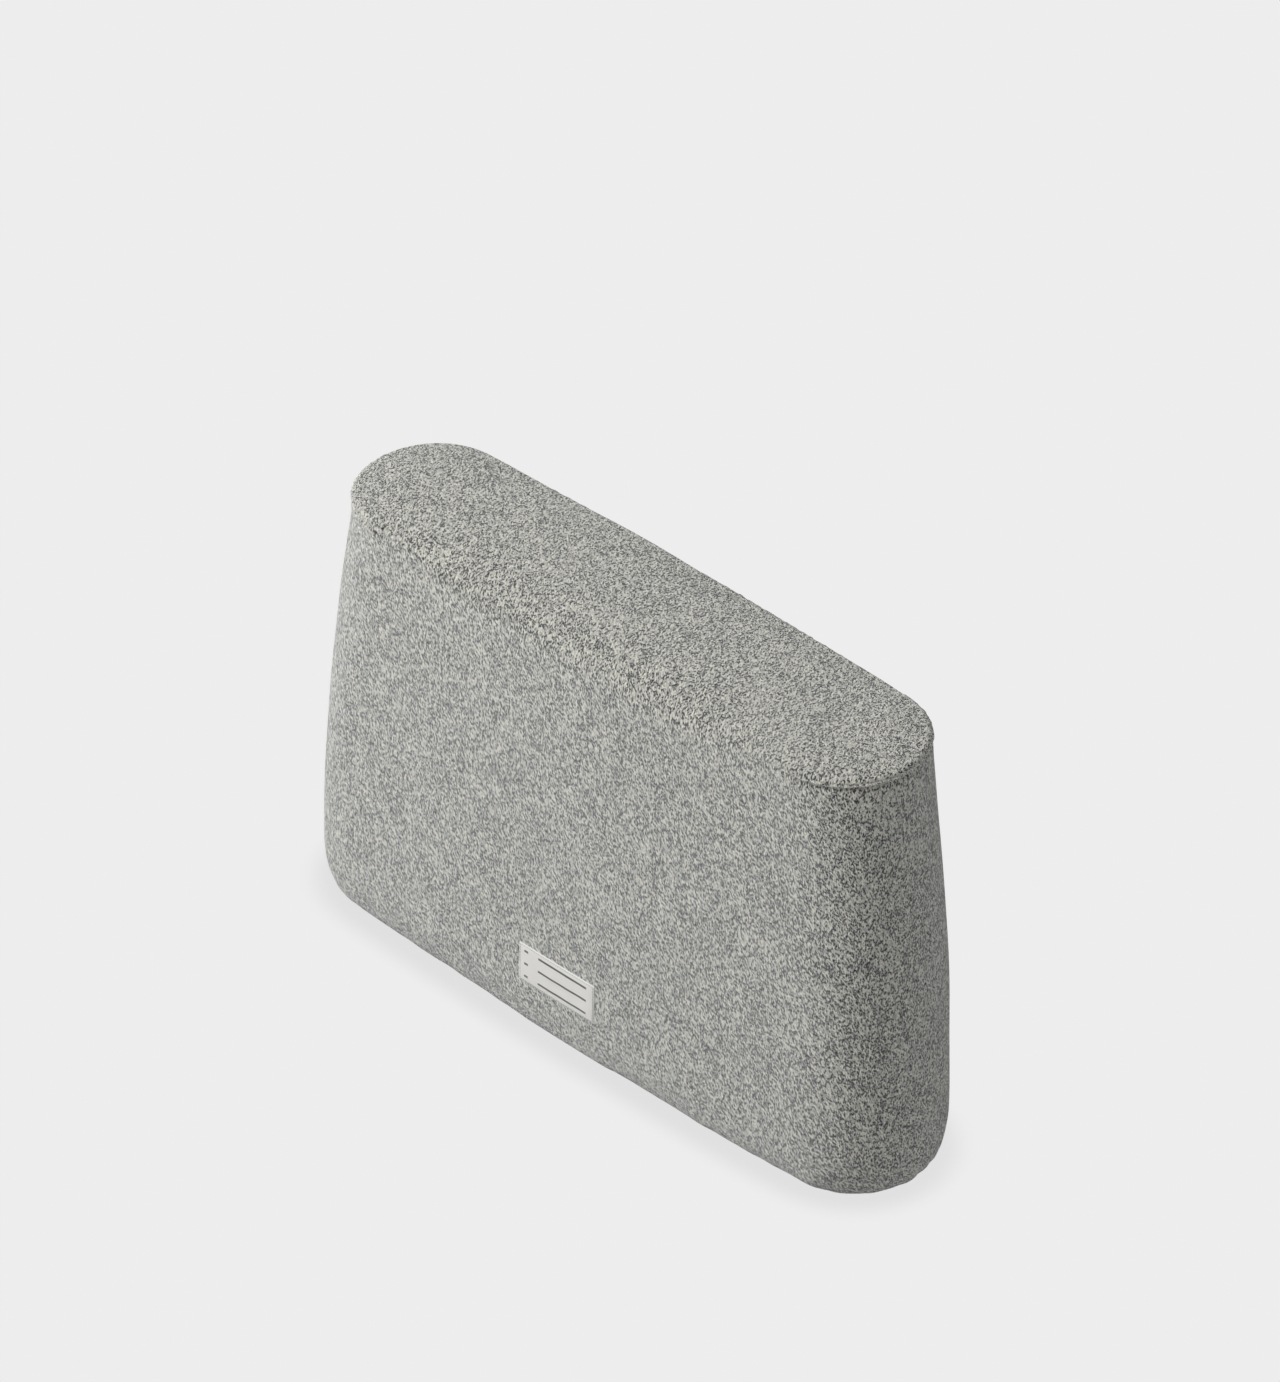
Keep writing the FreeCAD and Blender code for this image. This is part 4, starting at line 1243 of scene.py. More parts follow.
@dataclass
class Cover:
    """The sewn cover: the main panel over front, top and ends, and the back panel with its zip slot."""

    form: CushionForm
    cloth: float = 0.0015           # thickness
    cell: float = 0.0052            # grid spacing across the faces
    end_cell: float = 0.0036
    strips: int = 4
    foot_cells: int = 15
    wall_cells: int = 66
    seam_cells: int = 9             # extra rows just under the rim
    crown_cells: int = 24
    lobe_length: float = 0.0235     # of the gathers round the foot of each end
    lobe_depth: float = 0.0017
    lobe_height: float = 0.034
    front_gather: float = 0.0003
    seam_dent: float = 0.0021
    seam_dent_height: float = 0.0024
    tuck: float = 0.0009
    slot_fold: float = 0.0016
    flat_margin: float = 0.012      # sewn flat this far beyond the zip's slot
    flat_fade: float = 0.018
    seam_hold: float = 0.003        # half the width held flat along the back panel's seams
    rim_hold: float = 0.004         # and along the rim
    dent_drop: float = 0.0040       # the crease's middle, below the rim
    edge_roll: float = 0.0012       # of the top panel's edge, just above the rim
    pucker_pitch: float = 0.011
    pucker_reach: float = 0.010
    slot_sink: float = 0.0011

    def grid(self) -> tuple[Rows, Columns]:
        """Rows and columns of the cover, with lines along the edges of the zip's slot."""
        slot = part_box("zip_tape_upper"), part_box("zip_tape_lower")
        self.slot_half = slot[0][1].x + MM
        level = (slot[0][1].z + slot[1][0].z) / 2
        self.slot_low, self.slot_high = level - 0.007, level + 0.007
        near = np.array([0.0, 0.45, 1.0]) * self.slot_fold
        edges = np.concatenate([self.slot_low - near, self.slot_high + near])
        turns = np.arcsin(1 - edges / self.form.belly) / (math.pi / 2)
        even = np.linspace(0, 1, self.foot_cells + 1)[1:]
        foot = np.unique(np.round(np.concatenate([even, turns]), 6))[::-1]
        wall = np.linspace(0, 1, self.wall_cells + 1)
        wall = np.unique(np.concatenate([wall, 1 - np.linspace(0, 1, self.seam_cells) ** 1.5 * 0.035]))
        crown = np.linspace(0, 1, self.crown_cells + 1)[1:]
        rows = Rows.of({Zone.HEM: np.array([1.0, 0.5]), Zone.FOOT: foot, Zone.WALL: wall, Zone.CROWN: crown})
        count = int(2 * self.form.seam_place / self.cell)
        cuts = (self.slot_half + near) / self.form.seam_place
        face = np.unique(np.round(np.concatenate([np.linspace(-1, 1, count + 1), cuts, -cuts]), 6))
        ends = int(math.pi * (self.form.half_depth - self.form.belly_bow) / self.end_cell)
        return rows, Columns.whole(face, self.strips, ends)

    def gathers(self, sheet: Sheet, columns: Columns) -> Array:
        """Outward relief of the foot, gathered into lobes round the ends.

        Args:
            sheet: The cover's grid.
            columns: Its columns.

        Returns:
            How far each point stands out.
        """
        height, along = sheet.points[:, :, 2], sheet.around
        at_end = np.where(columns.reach == Reach.END.value, np.sin(np.clip(columns.share, 0, 1) * math.pi), 0)
        drift = Ripple(0.09, 11).value(along, along * 0) * 0.9
        lobe = 2 * np.sqrt(np.abs(np.cos(math.pi * along / self.lobe_length + drift * 0.8))) - 1
        uneven = 0.65 + 0.35 * Ripple(0.05, 5).value(along, along * 0)
        fade = np.exp(-(height / self.lobe_height) ** 1.6)
        lobes = self.lobe_depth * uneven * fade * (0.75 * lobe - 0.4) * at_end ** 0.35
        front = self.front_gather * Ripple(0.03, 23).value(along, height * 0.5) * fade
        return lobes + front

    def seam_relief(self, sheet: Sheet, columns: Columns, rows: Rows) -> Array:
        """Outward relief along the rim: a crease at the seam, with small puckers below it.

        Args:
            sheet: The cover's grid.
            columns: Its columns.
            rows: Its rows.

        Returns:
            How far each point stands out.
        """
        rim_row = int(np.flatnonzero(rows.zone.ravel() == Zone.WALL.value)[-1])
        away = sheet.up - sheet.up[rim_row]
        on_front = (columns.reach == Reach.FACE.value) & (columns.face < 0)
        place = np.abs(columns.share) * self.form.seam_place
        sewn = np.where(on_front, ease(place, self.form.seam_place - 0.030, self.form.seam_place), 1.0)
        below = np.clip(-away, 0, None)
        above = np.clip(away, 0, None)
        crease = -self.seam_dent * np.exp(-((away + self.dent_drop) / self.seam_dent_height) ** 2)
        tucks = Ripple(self.pucker_pitch, 31).value(sheet.around, below * 0.25)
        pucker = self.tuck * tucks * np.exp(-below / self.pucker_reach) * (below > 0)
        roll = self.edge_roll * np.exp(-((above - self.rim_hold) / self.rim_hold) ** 2) * (above > 0)
        return sewn * (crease + pucker + roll)

    def slot_relief(self, sheet: Sheet, columns: Columns) -> Array:
        """Inward fold of the back panel at the edges of the zip's slot."""
        on_back = (columns.reach == Reach.FACE.value) & (columns.face > 0)
        height, across = sheet.points[:, :, 2], np.abs(sheet.points[:, :, 0])
        out_x = np.clip(across - self.slot_half, 0, None)
        out_z = np.maximum(np.clip(self.slot_low - height, 0, None),
                           np.clip(height - self.slot_high, 0, None))
        near = np.clip(1 - np.hypot(out_x, out_z) / self.slot_fold, 0, 1)
        return np.where(on_back, -self.slot_sink * near ** 2, 0.0)

    def looseness(self, sheet: Sheet, columns: Columns, rows: Rows) -> Array:
        """Where the cloth may stand unevenly: not where it is sewn to something.

        Args:
            sheet: The cover's grid.
            columns: Its columns.
            rows: Its rows.

        Returns:
            1 where the cloth is loose, 0 along the seams, round the zip and under the label.
        """
        height, across = sheet.points[:, :, 2], np.abs(sheet.points[:, :, 0])
        on_face = columns.reach == Reach.FACE.value
        zip_top, label_top = self.slot_high + self.flat_margin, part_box("front_label")[1].z
        by_zip = (1 - ease(height, zip_top, zip_top + self.flat_fade)) * (columns.face > 0)
        label_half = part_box("front_label")[1].x
        by_label = ((1 - ease(height, label_top, label_top + self.flat_fade)) * (columns.face < 0)
                    * (1 - ease(across, label_half, label_half + self.flat_fade)))
        low_parts = np.maximum(by_zip, by_label) * on_face
        from_seam = np.abs(across - self.form.seam_place)
        by_seam = 1 - ease(from_seam, self.seam_hold, self.seam_hold + self.flat_fade)
        by_seam = by_seam * on_face * (columns.face > 0)
        from_rim = np.abs(height - self.form.rim)
        by_rim = 1 - ease(from_rim, self.rim_hold, self.rim_hold + self.flat_fade)
        by_rim = np.where(rows.zone == Zone.CROWN.value, ease(rows.share, 0.3, 0.9), by_rim)
        return (1 - low_parts) * (1 - by_seam) * (1 - by_rim)

    def build(self) -> list[bpy.types.Object]:
        """Makes both panels.

        Returns:
            The main panel and the back panel.
        """
        rows, columns = self.grid()
        sheet = self.form.sheet(rows, columns)
        self.lay_flap(sheet, columns)
        normals = sheet.normals()
        unevenness = 0.0006 * Ripple(0.16, 3).value(sheet.around, sheet.up)
        unevenness += Settling().run(self.form, rows, columns)
        loose = self.looseness(sheet, columns, rows)
        relief = ((self.gathers(sheet, columns) + unevenness) * loose + self.seam_relief(sheet, columns, rows)
                  + self.slot_relief(sheet, columns))
        relief[rows.zone.ravel() == Zone.HEM.value] = 0.0
        sheet.points = sheet.points + relief[:, :, None] * normals
        sheet.points[:, :, 2] = np.maximum(sheet.points[:, :, 2], 0.0)
        self.sheet, self.rows, self.columns = sheet, rows, columns
        below_rim = (rows.zone[:-1] < Zone.CROWN.value) & (rows.zone[1:] < Zone.CROWN.value)
        on_back = (columns.reach == Reach.FACE.value) & (columns.face > 0)
        back = below_rim & on_back
        crown_from = int(np.flatnonzero(rows.zone.ravel() == Zone.CROWN.value)[0]) - 1
        main = patch("cover_main_cloth", sheet, ~back, CLOTH, crown_from)
        weld(main)
        height = (sheet.points[:-1, :, 2] + sheet.points[1:, :, 2]) / 2
        middle = (sheet.points[:-1, :, 0] + np.roll(sheet.points, -1, 1)[:-1, :, 0]) / 2
        slot = (np.abs(middle) < self.slot_half) & (height > self.slot_low) & (height < self.slot_high)
        panel = patch("cover_back_cloth", sheet, back & ~slot, CLOTH)
        for piece, node in ((main, "cover_main_panel"), (panel, "cover_back_panel")):
            thicken(piece, self.cloth)
            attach(piece, "cushion")
            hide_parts(node)
        return [main, panel]

    def lay_flap(self, sheet: Sheet, columns: Columns) -> None:
        """Lays the cloth's metres over the top as one flat flap that runs on from the front."""
        middle = sheet.points[-1, :, :2]
        away = sheet.points[:, :, :2] - middle
        level = np.linalg.norm(away, axis=2)
        extra = np.clip(sheet.up[-1] - sheet.up - level, 0, None)
        outward = away / np.maximum(level, 1e-9)[:, :, None]
        flat = sheet.points[:, :, :2] + outward * extra[:, :, None]
        on_front = (columns.reach[0] == Reach.FACE.value) & (columns.face[0] < 0)
        front_x, front_start = middle[on_front, 0], (sheet.up[-1] - middle[:, 1])[on_front]
        start = np.interp(middle[:, 0], front_x, front_start)
        sheet.flap_around, sheet.flap_up = flat[:, :, 0], flat[:, :, 1] + start


# ---------------------------------------------------------------- seams and label


@dataclass
class Seams:
    """Raised seams: a folded lip round the top's ends and back, and one down each side of the back."""

    form: CushionForm
    proud: float = 0.0012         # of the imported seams, beyond the cover
    lip_out: float = 0.0020       # of the visible lip, beyond the cover
    lift: float = 0.0010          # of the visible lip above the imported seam's middle
    height: float = 0.0036
    dart: float = 0.030          # how far the lip runs on along the front
    sink: float = 0.0008         # the lip's middle below the cover's surface
    waver: float = 0.00035

    def section(self) -> Array:
        """The lip's section: a soft oval."""
        return oval_section(self.lip_out + self.sink, self.height / 2, 12)

    def top_path(self, side: Side) -> tuple[Array, Array]:
        """The end seam from its dart on the front, round the end, to the back seam.

        Args:
            side: Which end.

        Returns:
            Points of the seam's middle and the outward direction at each.
        """
        front = np.linspace(1 - self.dart / self.form.seam_place, 1, 18)
        strip, end = np.linspace(0, 1, 3)[1:], np.linspace(0, 1, 130)[1:]
        sign = side.value
        columns = Columns.of([(Reach.FACE, front * sign, sign, -1), (Reach.STRIP, strip, sign, -1),
                              (Reach.END, end, sign, 1), (Reach.STRIP, 1 - strip, sign, 1)])
        return self.path(columns)

    def path(self, columns: Columns) -> tuple[Array, Array]:
        """Points along the rim just under its edge, and the outward direction at each."""
        level = self.form.rim - self.height / 2 + self.lift
        points = self.form.at_level(np.full((1, 1), level), columns).points[0]
        along = np.gradient(points, axis=0)
        outward = np.cross(along, (0.0, 0.0, 1.0))
        outward /= np.linalg.norm(outward, axis=1, keepdims=True)
        middle = points[:, :2].mean(axis=0)
        facing = np.sign(np.sum(outward[:, :2] * (points[:, :2] - middle), axis=1))
        outward *= np.sign(np.median(facing))
        return points, outward

    def lip(self, name: str, points: Array, outward: Array, taper: Array, seed: int) -> bpy.types.Object:
        """Makes one lip with its slight waver.

        Args:
            name: The piece's name, which is its node's with _lip.
            points: The seam's middle.
            outward: Direction out of the cover.
            taper: Size of the lip at each point.
            seed: Which waver.

        Returns:
            The lip.
        """
        run = np.concatenate([[0], np.cumsum(np.linalg.norm(np.diff(points, axis=0), axis=1))])
        waver = Ripple(0.012, seed)
        shift = self.waver * waver.value(run, run * 0)[:, None]
        swell = 1 + 0.12 * Ripple(0.008, seed + 1).value(run, run * 0)
        spine = points - outward * self.sink + shift * np.array([0.0, 0.0, 1.0])
        # The lip takes the paler copy of the cloth, a painted highlight along the seam.
        piece = sweep(f"{name}_lip", spine, outward, self.section(), SEAM_CLOTH_PAINTED_HIGHLIGHT, taper * swell)
        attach(piece, "cushion")
        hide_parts(name)
        return piece

    def build(self) -> list[bpy.types.Object]:
        """Makes the five lips.

        Returns:
            The lips of the two ends, the back edge and the back panel's two sides.
        """
        made = []
        for side in Side:
            points, outward = self.top_path(side)
            taper = np.ones(len(points))
            taper[:18] = 0.15 + 0.85 * ease(np.arange(18.0), 0, 17)
            made.append(self.lip(f"top_seam_{side.name.lower()}", points, outward, taper, 41 + side.value))
        across = np.linspace(1, -1, 200)
        points, outward = self.path(Columns.of([(Reach.FACE, across, 1, 1)]))
        made.append(self.lip("top_seam_back", points, outward, np.ones(len(points)), 51))
        for side in Side:
            rows = Rows.of({Zone.FOOT: np.linspace(0.72, 0, 20), Zone.WALL: np.linspace(0, 0.985, 110)[1:]})
            edge = self.form.sheet(rows, Columns.of([(Reach.FACE, np.array([float(side.value)]), 1, 1)]))
            points = edge.points[:, 0]
            along = np.gradient(points, axis=0)
            outward = np.cross(along, (1.0, 0.0, 0.0))
            outward *= np.sign(outward[:, 1:2])
            outward /= np.linalg.norm(outward, axis=1, keepdims=True)
            made.append(self.lip(f"back_seam_{side.name.lower()}", points, outward,
                                 np.ones(len(points)), 61 + side.value))
        return made


@dataclass
class Label:
    """The woven label, sewn to the front on all four sides."""

    form: CushionForm
    cell: float = 0.0015
    thickness: float = 0.0007
    lift: float = 0.00015          # of its back off the cloth
    edge_round: float = 0.0012
    stitch: float = 0.0030
    thread: float = 0.00038
    margin: float = 0.0016

    def columns(self, places: Array) -> Columns:
        """Columns of the front at given places along it."""
        return Columns.of([(Reach.FACE, places / self.form.seam_place, 1, -1)])

    def surface(self, places: Array, levels: Array, lift: Array | float) -> tuple[Array, Array]:
        """Points over the front and the outward direction there.

        Args:
            places: Metres along the front.
            levels: Heights.
            lift: Distance off the front.

        Returns:
            The grid of points and the grid of unit normals.
        """
        points = self.form.at_level(levels[:, None], self.columns(places)).points
        across, upward = np.gradient(points, axis=1), np.gradient(points, axis=0)
        out = np.cross(across, upward)
        out /= np.linalg.norm(out, axis=2, keepdims=True)
        return points + out * np.broadcast_to(lift, points.shape[:2])[:, :, None], out

    def build(self) -> list[bpy.types.Object]:
        """Makes the label and its stitches.

        Returns:
            The label and the stitches.
        """
        low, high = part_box("front_label")
        places = np.linspace(low.x, high.x, int((high.x - low.x) / self.cell) + 1)
        levels = np.linspace(low.z, high.z, int((high.z - low.z) / self.cell) + 1)
        from_edge = np.minimum(np.minimum(places - low.x, high.x - places)[None, :],
                               np.minimum(levels - low.z, high.z - levels)[:, None])
        sewn = 0.00025 * np.exp(-((from_edge - self.margin) / 0.0008) ** 2)
        puff = 0.0003 * ease(from_edge, 0.002, 0.008) + 0.00012 * Ripple(0.02, 71).value(
            places[None, :], levels[:, None])
        edge = self.thickness * np.sqrt(ease(from_edge, -0.0004, self.edge_round))
        top, _ = self.surface(places, levels, self.lift + edge - sewn + puff)
        sheet = Sheet(top, np.broadcast_to(places - low.x, top.shape[:2]),
                      np.broadcast_to((levels - low.z)[:, None], top.shape[:2]), top[:, :, 0], top[:, :, 1])
        shown = np.ones((len(levels) - 1, len(places) - 1), bool)
        label = patch("front_label_cloth", sheet, shown, FINISHES["label_cloth"], closed=False)
        thicken(label, self.thickness * 0.8)
        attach(label, "cushion")
        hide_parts("front_label")
        return [label, self.stitches(low, high)]

    def stitches(self, low: Vector, high: Vector) -> bpy.types.Object:
        """A row of stitches just inside the label's four edges."""
        gap = self.margin
        along = np.linspace(low.x + gap, high.x - gap, 60)
        upright = np.linspace(low.z + gap, high.z - gap, 30)
        lift = self.lift + self.thickness
        paths, out = [], []
        for level in (low.z + gap, high.z - gap):
            points, normals = self.surface(along, np.array([level - 0.001, level, level + 0.001]), lift)
            paths.append(points[1] if level < high.z - 0.01 else points[1][::-1])
            out.append(normals[1] if level < high.z - 0.01 else normals[1][::-1])
        for place in (high.x - gap, low.x + gap):
            points, normals = self.surface(np.array([place - 0.001, place, place + 0.001]), upright, lift)
            paths.append(points[:, 1])
            out.append(normals[:, 1])
        order = (paths[0], paths[2], paths[1], paths[3][::-1])
        normals = (out[0], out[2], out[1], out[3][::-1])
        piece = stitch_line("front_label_stitches", np.concatenate(order), np.concatenate(normals),
                            self.stitch, self.thread)
        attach(piece, "cushion")
        return piece


# ---------------------------------------------------------------- zip


@dataclass
class Zip:
    """The back panel's zip: woven tapes, coils, topstitched slot, slider and pull."""

    cover: Cover
    pitch: float = 0.0015          # from one coil loop to the next
    wire: float = 0.00042          # radius of the coil's monofilament
    turn_points: int = 9
    tape_cell: float = 0.004
    stitch: float = 0.0034
    thread: float = 0.0007
    stitch_lift: float = 0.0007
    rows_out: tuple[float, float] = (0.0030, 0.0080)   # rows of topstitching beyond the slot's edge
    bevel: float = 0.00035

    def coil(self, name: str, sign: int) -> bpy.types.Object:
        """Makes one side's coil as a flattened helix.

        Args:
            name: Its node.
            sign: 1 for the upper side, -1 for the lower.

        Returns:
            The coil.
        """
        low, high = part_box(name)
        middle = (low + high) / 2
        reach, deep = (high.z - low.z) / 2 - self.wire, (high.y - low.y) / 2 - self.wire
        turns = int((high.x - low.x) / self.pitch)
        turn = np.linspace(0, math.tau * turns, turns * self.turn_points)
        squared = np.sign(np.cos(turn)) * np.abs(np.cos(turn)) ** 0.7
        path = np.stack([np.linspace(low.x, high.x, len(turn)), middle.y + deep * np.sin(turn),
                         middle.z - sign * reach * squared], axis=1)
        outward = np.stack([0 * turn, np.sin(turn), -sign * np.cos(turn)], axis=1)
        piece = sweep(f"{name}_loops", path, outward, oval_section(self.wire, self.wire, 6),
                      FINISHES["zip_nylon"])
        return self.fit(piece, name)

    def tape(self, name: str, sign: int) -> bpy.types.Object:
        """Makes one side's tape, thicker at the coil's sewing line and at its outer edge.

        Args:
            name: Its node.
            sign: 1 for the upper side, -1 for the lower.

        Returns:
            The tape.
        """
        low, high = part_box(name)
        middle, half_depth, width = (low.y + high.y) / 2, (high.y - low.y) / 2, high.z - low.z
        across = np.linspace(0, width, 15)
        swell = (0.55 + 0.4 * np.exp(-((across - 0.0008) / 0.0006) ** 2)
                 + 0.25 * np.exp(-((across - width) / 0.0007) ** 2)
                 + 0.15 * np.exp(-((across - 0.0032) / 0.0004) ** 2))
        inner = low.z if sign > 0 else high.z
        level = inner + sign * across
        outline = np.concatenate([np.stack([middle + half_depth * np.clip(swell, 0, 1), level], 1),
                                  np.stack([middle - half_depth * np.clip(swell, 0, 1), level], 1)[::-1]])
        steps = np.linspace(low.x, high.x, int((high.x - low.x) / self.tape_cell))
        path = np.stack([steps, 0 * steps + middle, 0 * steps + (low.z + high.z) / 2], axis=1)
        outward = np.tile((0.0, 1.0, 0.0), (len(path), 1))
        section = outline - np.array([middle, (low.z + high.z) / 2])
        section[:, 1] *= -1
        piece = sweep(f"{name}_band", path, outward, section[::sign * 1], FINISHES["zip_tape"])
        return self.fit(piece, name)

    def fit(self, piece: bpy.types.Object, node: str) -> bpy.types.Object:
        """Lets a piece stand for its node on the cushion."""
        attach(piece, "cushion")
        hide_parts(node)
        return piece

    def topstitching(self) -> list[bpy.types.Object]:
        """Rows of stitches round the slot, on the back panel."""
        cover, made = self.cover, []
        for number, out in enumerate(self.rows_out, start=1):
            half = cover.slot_half + out
            low, high = cover.slot_low - out, cover.slot_high + out
            corner = out
            along = np.linspace(-half + corner, half - corner, 160)
            rise = np.linspace(low + corner, high - corner, 6)
            bend = np.linspace(0, math.pi / 2, 6)
            x = np.concatenate([along, half - corner + corner * np.sin(bend), 0 * rise + half,
                                half - corner + corner * np.cos(bend), along[::-1],
                                -half + corner - corner * np.sin(bend), 0 * rise - half,
                                -half + corner - corner * np.cos(bend)])
            z = np.concatenate([0 * along + low, low + corner - corner * np.cos(bend), rise,
                                high - corner + corner * np.sin(bend), 0 * along + high,
                                high - corner + corner * np.cos(bend), rise[::-1],
                                low + corner - corner * np.sin(bend)])
            points, outward = self.on_back(x, z)
            points = points + outward * self.stitch_lift
            piece = stitch_line(f"slot_topstitch_{number}", points, outward, self.stitch, self.thread)
            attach(piece, "cushion")
            made.append(piece)
        return made

    def on_back(self, x: Array, z: Array) -> tuple[Array, Array]:
        """Points of the back panel at given places, and the outward direction there.

        Args:
            x: Metres along the back.
            z: Heights.

        Returns:
            The points and the outward directions.
        """
        form = self.cover.form

        def at(level: Array) -> Array:
            """Points of the back at these levels, one for each x."""
            columns = Columns.of([(Reach.FACE, x / form.seam_place, 1, 1)])
            foot = np.arcsin(np.clip(1 - level / form.belly, 0, 1)) / (math.pi / 2)
            rows = Rows(np.full((1, 1), Zone.FOOT.value), foot[None, :])
            low = form.sheet(rows, columns).points[0]
            high = form.at_level(np.maximum(level, form.belly)[None, :], columns).points[0]
            return np.where((level < form.belly)[:, None], low, high)

        points = at(z)
        upward = at(z + MM) - at(z - MM)
        outward = np.cross(upward, (1.0, 0.0, 0.0))
        outward *= np.sign(outward[:, 1:2])
        outward /= np.linalg.norm(outward, axis=1, keepdims=True)
        return points, outward

    def build(self) -> list[bpy.types.Object]:
        """Makes the tapes, coils and stitching, and softens the metal pieces' edges.

        Returns:
            Everything made.
        """
        made = []
        for side, sign in (("upper", 1), ("lower", -1)):
            made += [self.tape(f"zip_tape_{side}", sign), self.coil(f"zip_coil_{side}", sign)]
        for name in ("zip_slider", "zip_pull", "zip_stops"):
            edge = frame["nodes"][name].modifiers.new("soft_edges", "BEVEL")
            edge.width, edge.segments, edge.limit_method = self.bevel, 3, "ANGLE"
        return made + self.topstitching()


# ---------------------------------------------------------------- underside and filling


@dataclass
class Underside:
    """The base cloth, sewn round its edge, and the dotted grip sheet."""

    form: CushionForm
    dot: float = 0.0017           # radius of one dot
    dot_pitch: float = 0.0075
    dot_lift: float = 0.0006
    rim: float = 0.003
    cell: float = 0.006

    def oval(self, inset: float, level: float) -> Sheet:
        """A flat sheet bounded by the foot's outline, drawn in to its middle line.

        Args:
            inset: How far inside the outline on the floor.
            level: Its height.

        Returns:
            The sheet, from its edge inward.
        """
        columns = Columns.whole(np.linspace(-1, 1, 91), 2, 44)
        run = np.concatenate([[0.0, 0.012, 0.03, 0.06], np.linspace(0.12, 1, 12)])[:, None]
        form = self.form
        length = form.half_length - form.foot_inset - inset
        depth = form.half_depth - form.foot_inset - inset
        bow = np.maximum(form.belly_bow * (1 - run), 1e-7)
        sheet = form.lay_out(np.full_like(run, level), length + 0 * run, depth + 0 * run, bow, 0 * run, run,
                             columns)
        sheet.around, sheet.up = sheet.points[:, :, 0].copy(), sheet.points[:, :, 1].copy()
        return sheet

    def build(self) -> list[bpy.types.Object]:
        """Makes the base cloth with its stitches and the grip sheet with its dots.

        Returns:
            The pieces.
        """
        made = [self.base_cloth(), self.edge_stitches(), self.grip()]
        for piece in made:
            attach(piece, "cushion")
        return made

    def base_cloth(self) -> bpy.types.Object:
        """Makes the base cloth, its edge folded up into the seam."""
        low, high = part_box("cover_base_cloth")
        sheet = self.oval(-(high.x - (self.form.half_length - self.form.foot_inset)), low.z)
        slack = 0.0002 * Ripple(0.03, 83).value(sheet.around, sheet.up)
        sheet.points[:, :, 2] += slack + 0.0004
        sheet.points[0, :, 2] += 0.0009
        shown = np.ones((sheet.points.shape[0] - 1, sheet.points.shape[1]), bool)
        piece = patch("base_cloth_sheet", sheet, shown, BASE_CLOTH)
        weld(piece)
        piece.data.flip_normals()
        thicken(piece, 0.0008)
        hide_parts("cover_base_cloth")
        return piece

    def edge_stitches(self) -> bpy.types.Object:
        """Makes the row of stitches that joins the base cloth to the cover's turned hem."""
        low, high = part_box("cover_base_cloth")
        inset = self.form.half_length - self.form.foot_inset - high.x + self.rim
        edge = self.oval(inset, low.z + 0.0003).points[0]
        path = np.concatenate([edge, edge[:1]])
        piece = stitch_line("base_cloth_stitches", path, np.tile((0.0, 0.0, -1.0), (len(path), 1)),
                            0.004, 0.0005)
        return piece

    def grip(self) -> bpy.types.Object:
        """Makes the grip sheet: a thin rubber sheet with rows of round dots beneath it."""
        low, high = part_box("base_grip_sheet")
        inset = self.form.half_length - self.form.foot_inset - high.x
        under = self.oval(inset, low.z + self.dot_lift)
        over = self.oval(inset, high.z)
        count = under.points.shape[1]
        points = np.concatenate([under.points.reshape(-1, 3), over.points.reshape(-1, 3)])
        rows = under.points.shape[0]
        faces = []
        for i in range(rows - 1):
            for j in range(count):
                k = (j + 1) % count
                quad = (i * count + j, i * count + k, (i + 1) * count + k, (i + 1) * count + j)
                faces.append(quad[::-1])
                faces.append(tuple(q + rows * count for q in quad))
        faces += [(j, (j + 1) % count, rows * count + (j + 1) % count, rows * count + j)
                  for j in range(count)]
        dots, dot_faces = self.dots(low.z, high.x - 0.004, high.y - 0.004, len(points))
        piece = make_piece("grip_sheet_dotted", np.concatenate([points, dots]), faces + dot_faces,
                           FINISHES["grip_rubber"])
        weld(piece, 1e-6)
        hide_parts("base_grip_sheet")
        return piece

    def dots(self, floor: float, half_length: float, half_depth: float, first: int
             ) -> tuple[Array, list[tuple[int, ...]]]:
        """Low round dots in staggered rows.

        Args:
            floor: Height of their undersides.
            half_length: How far the rows reach along the sheet.
            half_depth: How far they reach across it.
            first: Number of the first point.

        Returns:
            The dots' points and faces.
        """
        points, faces, corners = [], [], 8
        spin = np.arange(corners) * (math.tau / corners)
        rise = self.dot_pitch * math.sqrt(3) / 2
        for line, y in enumerate(np.arange(-half_depth + self.dot, half_depth, rise)):
            for x in np.arange(-half_length, half_length, self.dot_pitch) + (line % 2) * self.dot_pitch / 2:
                over = abs(x) - (half_length - half_depth)
                if over > 0 and math.hypot(over, y) > half_depth - self.dot:
                    continue
                base = first + len(points)
                for radius, level in ((1.0, self.dot_lift), (0.85, 0.3 * self.dot_lift), (0.45, 0.0)):
                    points += [(x + radius * self.dot * math.cos(a), y + radius * self.dot * math.sin(a),
                                floor + level) for a in spin]
                for ring in range(2):
                    for k in range(corners):
                        low, after = base + ring * corners, (k + 1) % corners
                        faces.append((low + k, low + corners + k, low + corners + after, low + after))
                faces.append(tuple(base + 2 * corners + k for k in range(corners))[::-1])
        return np.array(points), faces


